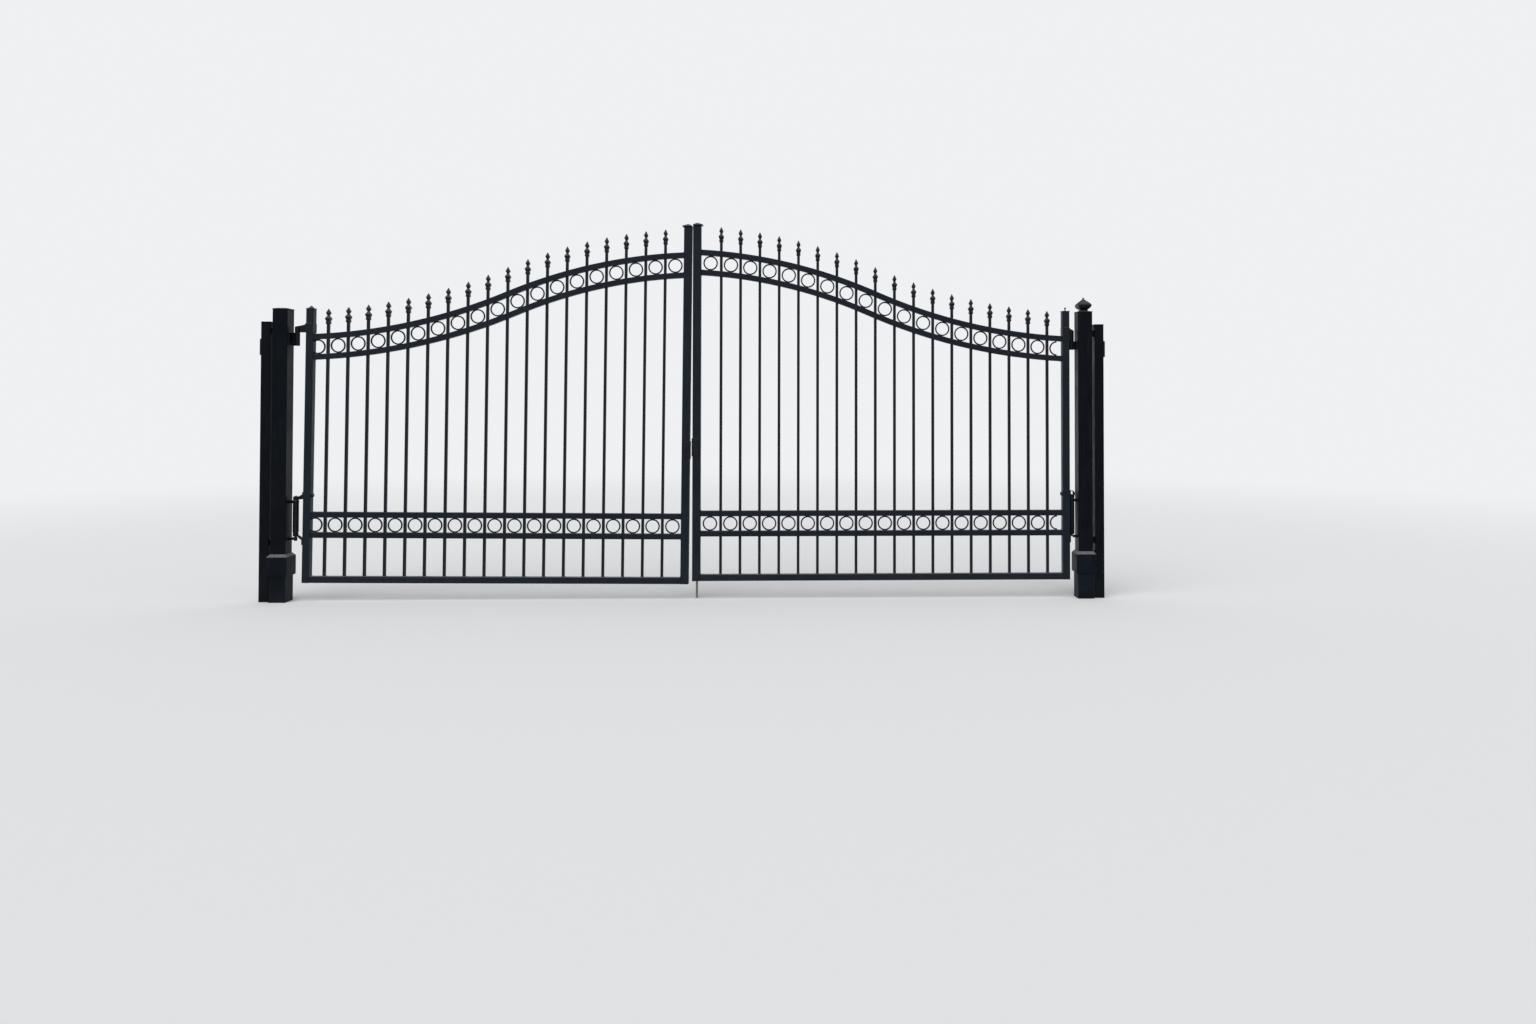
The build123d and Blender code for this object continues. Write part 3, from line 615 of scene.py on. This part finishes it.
def fillet_weld(bm, centre, axis, half_u, half_v, leg):
    """Weld run round a square bar that meets a face: a sloped skirt with a rippled toe."""
    skirt = bmesh.ops.create_cone(
        bm, segments=24, radius1=1.0, radius2=1.0, depth=leg, cap_ends=False
    )["verts"]
    for vert in skirt:
        squared = max(abs(vert.co.x), abs(vert.co.y))
        spread = leg * random.uniform(0.85, 1.25) if vert.co.z < 0 else 0.0004
        vert.co.x = vert.co.x / squared * (half_u + spread)
        vert.co.y = vert.co.y / squared * (half_v + spread)
        vert.co.z = 0.0 if vert.co.z < 0 else leg * random.uniform(0.9, 1.2)
    bmesh.ops.transform(bm, matrix=Matrix.Translation(centre) @ facing(axis), verts=skirt)


def hex_bolt(bm, seat, axis, across, head, washer, washer_thickness, turn=0.0):
    """Hexagon head with chamfered corners on a round washer; the seat is the face it bears on."""
    start = set(bm.verts)
    disc = bmesh.ops.create_cone(
        bm, segments=24, radius1=washer, radius2=washer * 0.96, depth=washer_thickness, cap_ends=True
    )["verts"]
    bmesh.ops.translate(bm, verts=disc, vec=(0, 0, washer_thickness / 2))
    corner = across / math.sqrt(3)
    hexagon = bmesh.ops.create_cone(
        bm, segments=6, radius1=corner, radius2=corner, depth=head, cap_ends=True
    )["verts"]
    bmesh.ops.translate(bm, verts=hexagon, vec=(0, 0, washer_thickness + head / 2))
    top = washer_thickness + head
    edges = {edge for vert in hexagon for edge in vert.link_edges}
    rim = [edge for edge in edges if all(abs(vert.co.z - top) < 1e-6 for vert in edge.verts)]
    bmesh.ops.bevel(bm, geom=rim, offset=head * 0.18, segments=2, profile=0.5, affect="EDGES", material=-1)
    place = Matrix.Translation(seat) @ facing(axis) @ Matrix.Rotation(turn, 4, "Z")
    bmesh.ops.transform(bm, matrix=place, verts=made_since(bm, start))


def turned_piece(bm, foot, profile, steps=32):
    """Upright round piece turned from (radius, height) pairs above its foot."""
    start = set(bm.verts)
    points = [bm.verts.new((radius, 0.0, height)) for radius, height in profile]
    edges = [bm.edges.new(pair) for pair in zip(points, points[1:])]
    bmesh.ops.spin(
        bm, geom=points + edges, cent=(0, 0, 0), axis=(0, 0, 1), angle=math.tau, steps=steps, use_merge=True
    )
    bmesh.ops.remove_doubles(bm, verts=made_since(bm, start), dist=PIECE_MERGE)
    bmesh.ops.translate(bm, verts=made_since(bm, start), vec=foot)


def square_casting(bm, centre, sections, arris):
    """Casting of level square sections, each (half width, height), lowest first, with eased arrises."""
    start = set(bm.verts)
    corner = sections[0][0] * math.sqrt(2)
    foot = bmesh.ops.create_circle(bm, cap_ends=True, radius=corner, segments=4)["verts"]
    bmesh.ops.rotate(bm, verts=foot, cent=(0, 0, 0), matrix=Matrix.Rotation(math.pi / 4, 3, "Z"))
    top = foot[0].link_faces[0]
    for half, level in sections[1:]:
        lifted = bmesh.ops.extrude_face_region(bm, geom=[top])["geom"]
        top = next(piece for piece in lifted if isinstance(piece, bmesh.types.BMFace))
        for vert in top.verts:
            vert.co = Vector((math.copysign(half, vert.co.x), math.copysign(half, vert.co.y), level))
    edges = list({edge for vert in made_since(bm, start) for edge in vert.link_edges})
    bmesh.ops.bevel(
        bm, geom=edges, offset=arris, segments=2, profile=0.5, affect="EDGES", clamp_overlap=True,
        material=-1,
    )
    bmesh.ops.translate(bm, verts=made_since(bm, start), vec=centre)


def flat_block(bm, one, other, arris):
    """Bar or plate with eased arrises between two opposite corners."""
    one, other = Vector(one), Vector(other)
    block = bmesh.ops.create_cube(bm, size=1.0)["verts"]
    bmesh.ops.scale(bm, verts=block, vec=[abs(length) for length in other - one])
    bmesh.ops.translate(bm, verts=block, vec=(one + other) / 2)
    edges = list({edge for vert in block for edge in vert.link_edges})
    bmesh.ops.bevel(bm, geom=edges, offset=arris, segments=2, profile=0.5, affect="EDGES", material=-1)


def round_knob(bm, centre, radius):
    """Smooth ball over the flats of a solid knob."""
    ball = bmesh.ops.create_uvsphere(bm, u_segments=24, v_segments=14, radius=radius)["verts"]
    bmesh.ops.translate(bm, verts=ball, vec=centre)


# ---------------------------------------------------------------- rings

def ring_seats(row, side):
    """Centre and along-rail direction of each ring in a row, from its solids."""
    centres = []
    for low, high in separate_solids(row):
        whole = high.x - low.x > 1.9 * RING_RADIUS
        if whole:
            x = (low.x + high.x) / 2
        elif side == "left":
            x = high.x - RING_RADIUS
        else:
            x = low.x + RING_RADIUS
        centres.append(Vector((x, 0.0, (low.z + high.z) / 2)))
    seats = []
    for i, centre in enumerate(centres):
        before = centres[max(i - 1, 0)]
        after = centres[min(i + 1, len(centres) - 1)]
        seats.append((centre, (after - before).normalized()))
    return seats


def bent_ring():
    """One ring bent from square bar with eased arrises, closed by its weld, in the plane of the gate."""
    bm = bmesh.new()
    outline = bmesh.ops.create_circle(bm, cap_ends=False, radius=1.0, segments=8)["verts"]
    bmesh.ops.rotate(bm, verts=outline, cent=(0, 0, 0), matrix=Matrix.Rotation(math.pi / 8, 3, "Z"))
    half = RING_BAR / 2
    for vert in outline:
        wide = abs(vert.co.x) > abs(vert.co.y)
        x = math.copysign(half if wide else half - RING_ARRIS, vert.co.x)
        y = math.copysign(half - RING_ARRIS if wide else half, vert.co.y)
        vert.co = Vector((RING_RADIUS - half + x, y, 0.0))
    bmesh.ops.spin(
        bm, geom=outline + bm.edges[:], cent=(0, 0, 0), axis=(0, 1, 0), angle=math.tau, steps=RING_STEPS,
        use_merge=True,
    )
    bmesh.ops.remove_doubles(bm, verts=bm.verts, dist=PIECE_MERGE)
    return mesh_from("bent_ring", bm)


def add_ring(bm, ring, centre, cut=None, keep=None):
    """Set one ring in its place, cut off flush at a point if one is given, on the side to keep."""
    single = bmesh.new()
    single.from_mesh(ring)
    bmesh.ops.translate(single, verts=single.verts, vec=centre)
    if cut is not None:
        whole = single.verts[:] + single.edges[:] + single.faces[:]
        bmesh.ops.bisect_plane(
            single, geom=whole, dist=PIECE_MERGE, plane_co=cut, plane_no=keep, clear_inner=True
        )
        open_edges = [edge for edge in single.edges if edge.is_boundary]
        bmesh.ops.edgeloop_fill(single, edges=open_edges)
    placed = mesh_from("placed_ring", single)
    bm.from_mesh(placed)
    bpy.data.meshes.remove(placed)


def ring_row(side, row, ring):
    """All the rings of one row, in place of the row's plain solids; the one at the hinge stile is cut."""
    place = leaf_place(side)
    keep = place.to_3x3() @ Vector((1, 0, 0))
    bm = bmesh.new()
    seats = ring_seats(side + row, side)
    hinge_end = 0 if side == "left" else len(seats) - 1
    for i, (centre, _) in enumerate(seats):
        if i != hinge_end:
            add_ring(bm, ring, centre)
        elif side == "left":
            add_ring(bm, ring, centre, place @ Vector((STILE, 0, centre.z)), keep)
        else:
            add_ring(bm, ring, centre, centre, keep)
    piece = finish_piece(side + row + "_bent", bm, side + "_leaf", "frame_paint")
    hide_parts(side + row)


def ring_welds(side):
    """Short beads that hold each ring to the rail below it and the rail above it."""
    bm = bmesh.new()
    for row in ("_lower_rings", "_arch_rings"):
        seats = ring_seats(side + row, side)
        for i, (centre, along) in enumerate(seats):
            out = Vector((-along.z, 0.0, along.x))
            half_ring = side == "right" and i == len(seats) - 1
            for way in (-1, 1):
                for hand in (-1,) if half_ring else (-1, 1):
                    touch = centre + out * way * (RING_RADIUS - RING_WELD_INSET)
                    touch += along * hand * RING_WELD_ASIDE
                    weld_bead(bm, touch, (0, 1, 0), RING_BAR * 0.56, RING_WELD)
    finish_piece(side + "_ring_welds", bm, side + "_leaf", "frame_paint", weld_finish, crease=60.0)


# ---------------------------------------------------------------- welds

def frame_welds(side):
    """Weld runs where pickets stand on the bottom rail and where the rails meet the stiles."""
    place = leaf_place(side)
    level = place.inverted()
    bm = bmesh.new()
    for low, high in separate_solids(side + "_pickets"):
        middle = low.x + PICKET / 2 if side == "left" else (low.x + high.x) / 2
        foot = level @ Vector((middle, 0.0, low.z))
        foot.z = LEAF_CLEARANCE + BOTTOM_RAIL
        fillet_weld(bm, foot, (0, 0, 1), PICKET / 2, PICKET / 2, FRAME_WELD)
    meeting = LEAF_WIDTH[side] - MEETING_STILE
    bottom = BOTTOM_RAIL / 2
    rail = RAIL / 2
    for x, inward, arch in ((STILE, 1, ARCH_FOOT), (meeting, -1, ARCH_HEAD)):
        # The lowest run stays above the foot of the stile
        z = LEAF_CLEARANCE + bottom + FRAME_WELD / 2
        fillet_weld(bm, (x, 0, z), (inward, 0, 0), bottom, bottom - FRAME_WELD / 2, FRAME_WELD)
        straight = (LOW_RING_RAIL + rail, HIGH_RING_RAIL + rail)
        arched = (arch - ARCH_RAIL_OFFSET, arch + ARCH_RAIL_OFFSET)
        for z in straight + arched:
            fillet_weld(bm, (x, 0, z), (inward, 0, 0), rail, rail, FRAME_WELD)
    finish_piece(side + "_frame_welds", bm, side + "_leaf", "frame_paint", weld_finish, place, 60.0)


def fitting_welds(side):
    """Beads round the hinge saddle and the closer's two pads."""
    bm = bmesh.new()
    for z in STRAP_SPAN[side]:
        for y in (-STILE_HALF, STILE_HALF):
            weld_run(bm, (SADDLE_WELD_INSET, y, z), (STILE - SADDLE_WELD_INSET, y, z), SADDLE_WELD)
    for middle, height in ((ARM_BOLT_LEVEL, ARM_PAD_HEIGHT), (FOOT_PAD_LEVEL, FOOT_PAD_HEIGHT)):
        for z in (middle - height / 2, middle + height / 2):
            weld_run(bm, (0, -PAD_WELD_HALF, z), (0, PAD_WELD_HALF, z), PAD_WELD)
    place = leaf_place(side)
    finish_piece(side + "_fitting_welds", bm, side + "_leaf", "fitting_paint", weld_finish, place, 60.0)


def post_welds(side):
    """Beads round the barrel's plate, the closer's band and bracket, the jamb ties and the wall bracket."""
    out = -INWARD[side]
    post = POST_X[side]
    face = post_face(side)
    foot, top = BARREL_SPAN[side]
    bm = bmesh.new()
    for z in (foot, top):
        weld_run(bm, (face, -BARREL_WELD_HALF, z), (face, BARREL_WELD_HALF, z), BARREL_WELD)
    for y in (-BARREL_PLATE_HALF, BARREL_PLATE_HALF):
        weld_run(bm, (face, y, foot), (face, y, top), BARREL_WELD)
    for y in (BAND_BACK - BAND_DEPTH, BAND_BACK):
        weld_run(bm, (face, y, BAND_SPAN[0]), (face, y, BAND_SPAN[1]), BRACKET_WELD)
    front, back = HINGE_AXIS_Y - BRACKET_HALF, HINGE_AXIS_Y + BRACKET_HALF
    for z in BRACKET_SPAN:
        weld_run(bm, (face, front, z), (face, back, z), BRACKET_WELD)
    for z in TIE_LEVELS:
        fillet_weld(bm, (post + out * POST_HALF, 0, z), (out, 0, 0), *TIE_HALF, TIE_WELD)
        fillet_weld(bm, (post + out * JAMB_INNER, 0, z), (-out, 0, 0), *TIE_HALF, TIE_WELD)
    plate = (post + out * JAMB_OUTER, 0, WALL_BRACKET_LEVEL)
    fillet_weld(bm, plate, (out, 0, 0), *WALL_BRACKET_HALF, TIE_WELD)
    finish_piece(side + "_post_welds", bm, "posts", "fitting_paint", weld_finish, crease=60.0)


# ---------------------------------------------------------------- fittings

def closer_shell(side):
    """Closer's smooth tube with its end collars and spindles, in place of the plain one."""
    skin = CLOSER_RADIUS[side]
    rim = skin - 0.0031
    collar = skin + 0.0006
    low, high = SPINDLE_SPAN
    tube = [
        (0.0, low), (SPINDLE_RADIUS, low), (SPINDLE_RADIUS, CLOSER_FOOT), (rim, CLOSER_FOOT),
        (skin, CLOSER_FOOT + 0.0026), (collar, CLOSER_FOOT + 0.0032),
        (collar, CLOSER_FOOT + 0.0150), (skin, CLOSER_FOOT + 0.0156),
        (skin, CLOSER_TOP - 0.0206), (collar, CLOSER_TOP - 0.0200),
        (collar, CLOSER_TOP - 0.0032), (skin, CLOSER_TOP - 0.0026),
        (rim, CLOSER_TOP), (SPINDLE_RADIUS, CLOSER_TOP), (SPINDLE_RADIUS, high - 0.0008),
        (SPINDLE_RADIUS - 0.0008, high), (0.0, high),
    ]
    bm = bmesh.new()
    turned_piece(bm, (HINGE_AXIS_X[side], HINGE_AXIS_Y, 0.0), tube, 40)
    piece = finish_piece(side + "_closer_tube", bm, "posts", "fitting_paint")
    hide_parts(side + "_closer_body")


def closer_bracket(side):
    """Band that holds the closer's head to the post, and the bracket under its lower spindle.

    The right bracket ends beside the spindle, clear of the steeper strap as the leaf swings.
    """
    arris = 0.0008
    axis_x = HINGE_AXIS_X[side]
    face = post_face(side)
    inward = INWARD[side]
    foot, top = BRACKET_SPAN
    bm = bmesh.new()
    band_end = (axis_x - inward * BAND_REACH, BAND_BACK, BAND_SPAN[1])
    flat_block(bm, (face, BAND_BACK - BAND_DEPTH, BAND_SPAN[0]), band_end, arris)
    bracket_end = (axis_x - inward * BRACKET_SHORTFALL[side], HINGE_AXIS_Y + BRACKET_HALF, top)
    flat_block(bm, (face, HINGE_AXIS_Y - BRACKET_HALF, foot), bracket_end, arris)
    if side == "left":
        nose = [
            (0.0, foot), (BRACKET_HALF - 0.0007, foot), (BRACKET_HALF, foot + 0.0007),
            (BRACKET_HALF, top - 0.0007), (BRACKET_HALF - 0.0007, top), (0.0, top),
        ]
        turned_piece(bm, (axis_x, HINGE_AXIS_Y, 0), nose)
        hex_bolt(
            bm, (axis_x, HINGE_AXIS_Y, foot), (0, 0, -1),
            across=0.0180, head=0.0052, washer=0.0112, washer_thickness=0.0012,
        )
    finish_piece(side + "_closer_bracket", bm, "posts", "fitting_paint")


def forged_bar(bm, stations, depth):
    """Forged flat bar along stations of (x, z, height) on the hinge line, square to its own path."""
    current = bmesh.ops.create_circle(bm, cap_ends=False, radius=1.0, segments=12)["verts"]
    shape = [(vert.co.x, vert.co.y) for vert in current]
    first = ends = list(bm.edges)
    for i, (x, z, height) in enumerate(stations):
        before = stations[max(i - 1, 0)]
        after = stations[min(i + 1, len(stations) - 1)]
        climb = math.atan2(after[1] - before[1], after[0] - before[0])
        if i > 0:
            lifted = bmesh.ops.extrude_edge_only(bm, edges=ends)["geom"]
            ends = [piece for piece in lifted if isinstance(piece, bmesh.types.BMEdge)]
            behind = set(current)
            joined = [[edge.other_vert(vert) for edge in vert.link_edges] for vert in current]
            current = [next(vert for vert in found if vert not in behind) for found in joined]
        for vert, (aside, rise) in zip(current, shape):
            rise = math.copysign(abs(rise) ** FORGED_FULLNESS, rise) * height / 2
            aside = math.copysign(abs(aside) ** FORGED_FULLNESS, aside) * depth / 2
            vert.co = Vector((x - rise * math.sin(climb), HINGE_AXIS_Y + aside, z + rise * math.cos(climb)))
    bmesh.ops.edgeloop_fill(bm, edges=first)
    bmesh.ops.edgeloop_fill(bm, edges=ends)


def forged_arm():
    """Swan-necked arm over the left closer: an eye, a neck that widens as it climbs, and a pad."""
    bm = bmesh.new()
    neck = [
        (-0.0575, 0.7082, 0.0200), (-0.0500, 0.7080, 0.0205), (-0.0430, 0.7085, 0.0225),
        (-0.0360, 0.7100, 0.0270), (-0.0290, 0.7128, 0.0320), (-0.0210, 0.7170, 0.0370),
        (-0.0120, 0.7210, 0.0420), (-0.0030, 0.7232, 0.0450),
    ]
    forged_bar(bm, neck, 0.0120)
    foot = (-ARM_PAD_THICKNESS, -ARM_PAD_HALF_WIDTH, ARM_BOLT_LEVEL - ARM_PAD_HEIGHT / 2)
    flat_block(bm, foot, (0.0, ARM_PAD_HALF_WIDTH, ARM_BOLT_LEVEL + ARM_PAD_HEIGHT / 2), 0.0010)
    bmesh.ops.transform(bm, matrix=leaf_place("left"), verts=bm.verts)
    low, high = EYE_SPAN
    eye = [
        (EYE_BORE, low), (EYE_RADIUS - 0.0010, low), (EYE_RADIUS, low + 0.0010),
        (EYE_RADIUS, high - 0.0010), (EYE_RADIUS - 0.0010, high), (EYE_BORE, high), (EYE_BORE, low),
    ]
    turned_piece(bm, (HINGE_AXIS_X["left"], HINGE_AXIS_Y, 0), eye, 36)
    piece = finish_piece("left_forged_arm", bm, "left_leaf", "fitting_paint")
    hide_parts("left_closer_arm")


def forged_strap():
    """Thicker skin of the slanted strap under the left closer, wider towards the stile."""
    bm = bmesh.new()
    strap = [
        (-0.0520, 0.4497, 0.014), (-0.0400, 0.4412, 0.016), (-0.0280, 0.4326, 0.018),
        (-0.0160, 0.4241, 0.021), (-0.0040, 0.4156, 0.024),
    ]
    forged_bar(bm, strap, 0.0125)
    finish_piece("left_forged_strap", bm, "left_leaf", "fitting_paint", place=leaf_place("left"))


def arm_bolt(side):
    """Hexagon nut on a wide washer at the inner end of the bolt through the hinge stile."""
    bm = bmesh.new()
    hex_bolt(
        bm, (STILE, 0, ARM_BOLT_LEVEL), (1, 0, 0),
        across=0.0244, head=0.0090, washer=0.0165, washer_thickness=0.0024, turn=0.3,
    )
    finish_piece(side + "_arm_bolt", bm, side + "_leaf", "fitting_paint", place=leaf_place(side))


def barrel_sleeve(side):
    """Smooth skin and chamfered ends of the upper hinge's barrel."""
    foot, top = BARREL_SPAN[side]
    rim = BARREL_RADIUS - 0.0013
    skin = [
        (0.0, foot - 0.0001), (rim, foot - 0.0001), (BARREL_RADIUS, foot + 0.0012),
        (BARREL_RADIUS, top - 0.0012), (rim, top + 0.0001), (0.0, top + 0.0001),
    ]
    bm = bmesh.new()
    turned_piece(bm, (HINGE_AXIS_X[side], HINGE_AXIS_Y, 0), skin, 40)
    finish_piece(side + "_barrel_sleeve", bm, "posts", "fitting_paint")


def latch_bolts(side):
    """Small hexagon heads in the latch plate."""
    bm = bmesh.new()
    for i, (x, z) in enumerate(LATCH_SEATS[side]):
        hex_bolt(
            bm, (x, LATCH_FACE_Y, z), (0, -1, 0),
            across=0.0100, head=0.0042, washer=0.0068, washer_thickness=0.0012, turn=0.35 * i,
        )
    finish_piece(side + "_latch_bolts", bm, side + "_leaf", "fitting_paint")


def stile_knob():
    """Rod and ball on the right hinge stile's cap."""
    x = LEAF_X["right"] - STILE / 2
    rod = [(0.0, -0.001), (0.0062, 0.0), (0.0041, 0.0030), (0.0041, 0.016), (0.0, 0.017)]
    bm = bmesh.new()
    turned_piece(bm, (x, 0, STILE_CAP_TOP), rod, 20)
    round_knob(bm, (x, 0, STILE_BALL_LEVEL), 0.0066)
    finish_piece("right_stile_knob", bm, "right_leaf", "cast_points", finial_finish)


def post_finial():
    """Square finial casting: neck, flared bowl, low roof and a ball."""
    low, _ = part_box("right_post_finial")
    sections = [
        (0.0270, 0.0), (0.0255, 0.004), (0.0258, 0.009), (0.0315, 0.014), (0.0400, 0.022),
        (0.0462, 0.031), (0.0480, 0.038), (0.0474, 0.043), (0.0430, 0.050), (0.0335, 0.060),
        (0.0215, 0.070), (0.0120, 0.078), (0.0070, 0.084),
    ]
    bm = bmesh.new()
    square_casting(bm, (POST_X["right"], 0, low[2]), sections, 0.0012)
    round_knob(bm, (POST_X["right"], 0, FINIAL_BALL_LEVEL), 0.0065)
    name = "right_post_finial_casting"
    piece = finish_piece(name, bm, "posts", "cast_points", finial_finish, crease=28.0)
    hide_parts("right_post_finial")


ring = bent_ring()
for side in ("left", "right"):
    ring_row(side, "_lower_rings", ring)
    ring_row(side, "_arch_rings", ring)
    ring_welds(side)
    frame_welds(side)
    fitting_welds(side)
    post_welds(side)
    closer_shell(side)
    closer_bracket(side)
    arm_bolt(side)
    barrel_sleeve(side)
    latch_bolts(side)
forged_arm()
forged_strap()
stile_knob()
post_finial()
bpy.data.meshes.remove(ring)


# ---------------------------------------------------------------- floor, light and camera

def lay_floor():
    """Plain pale floor that thins out far from the gate, so that it has no hard edge."""
    bm = bmesh.new()
    bmesh.ops.create_grid(bm, x_segments=2, y_segments=2, size=FLOOR_SIZE)
    mesh = mesh_from("studio_floor", bm)
    material, sheet, shader = new_material("pale_floor")
    shader.inputs["Base Color"].default_value = FLOOR_TONE
    shader.inputs["Roughness"].default_value = 0.9
    shader.inputs["Specular IOR Level"].default_value = 0.1
    place = sheet.split(sheet.object_place())
    aside = sheet.math("SUBTRACT", place["X"], FLOOR_CENTRE_X)
    across = sheet.math("MULTIPLY", aside, aside)
    ahead = sheet.math("MULTIPLY", place["Y"], place["Y"])
    distance = sheet.math("SQRT", sheet.math("ADD", across, ahead))
    sheet.link(sheet.spread(distance, *FLOOR_FADE, 1.0, 0.0), shader.inputs["Alpha"])
    mesh.materials.append(material)
    floor = add_object("studio_floor", mesh)


def light_room():
    """Even daylight from all round with one broad soft lamp above and in front."""
    world = bpy.data.worlds.new("studio")
    bpy.context.scene.world = world
    world.use_nodes = True
    sheet = Sheet(world.node_tree)
    world.node_tree.nodes.clear()
    seen = sheet.add("ShaderNodeBackground")
    seen.inputs["Color"].default_value = BACKDROP_TONE
    seen.inputs["Strength"].default_value = 1.0
    given = sheet.add("ShaderNodeBackground")
    given.inputs["Color"].default_value = DAYLIGHT_TONE
    given.inputs["Strength"].default_value = GIVEN_LIGHT
    path = sheet.add("ShaderNodeLightPath").outputs
    direct = sheet.math("MAXIMUM", path["Is Camera Ray"], path["Is Glossy Ray"])
    shown = sheet.math("MAXIMUM", direct, path["Is Transmission Ray"])
    mix = sheet.add("ShaderNodeMixShader")
    out = sheet.add("ShaderNodeOutputWorld")
    sheet.link(shown, mix.inputs[0])
    sheet.link(given.outputs[0], mix.inputs[1])
    sheet.link(seen.outputs[0], mix.inputs[2])
    sheet.link(mix.outputs[0], out.inputs["Surface"])
    data = bpy.data.lights.new("broad_soft_lamp", "SUN")
    data.energy = LAMP_ENERGY
    data.angle = LAMP_WIDTH
    lamp = add_object("broad_soft_lamp", data)
    lamp.rotation_euler = Vector(LAMP_DIRECTION).to_track_quat("-Z", "Y").to_euler()


def set_camera():
    """Camera where the photo was taken from, with the picture shifted as in the photo."""
    ahead = Vector((
        math.sin(CAMERA_YAW) * math.cos(CAMERA_PITCH), math.cos(CAMERA_YAW) * math.cos(CAMERA_PITCH),
        math.sin(CAMERA_PITCH),
    ))
    across = Vector((math.cos(CAMERA_YAW), -math.sin(CAMERA_YAW), 0.0))
    up = across.cross(ahead)
    right = across * math.cos(CAMERA_ROLL) + up * math.sin(CAMERA_ROLL)
    over = up * math.cos(CAMERA_ROLL) - across * math.sin(CAMERA_ROLL)
    data = bpy.data.cameras.new("camera")
    data.sensor_width = SENSOR_WIDTH
    data.lens = FOCAL_PX / PICTURE_WIDTH_PX * SENSOR_WIDTH
    data.shift_x, data.shift_y = (shift / PICTURE_WIDTH_PX for shift in SHIFT_PX)
    data.clip_end = 200.0
    camera = add_object("camera", data)
    turn = Matrix((right, over, -ahead)).transposed().to_4x4()
    camera.matrix_world = Matrix.Translation(CAMERA_PLACE) @ turn
    bpy.context.scene.camera = camera


lay_floor()
light_room()
set_camera()
bpy.context.scene.view_settings.view_transform = "Standard"
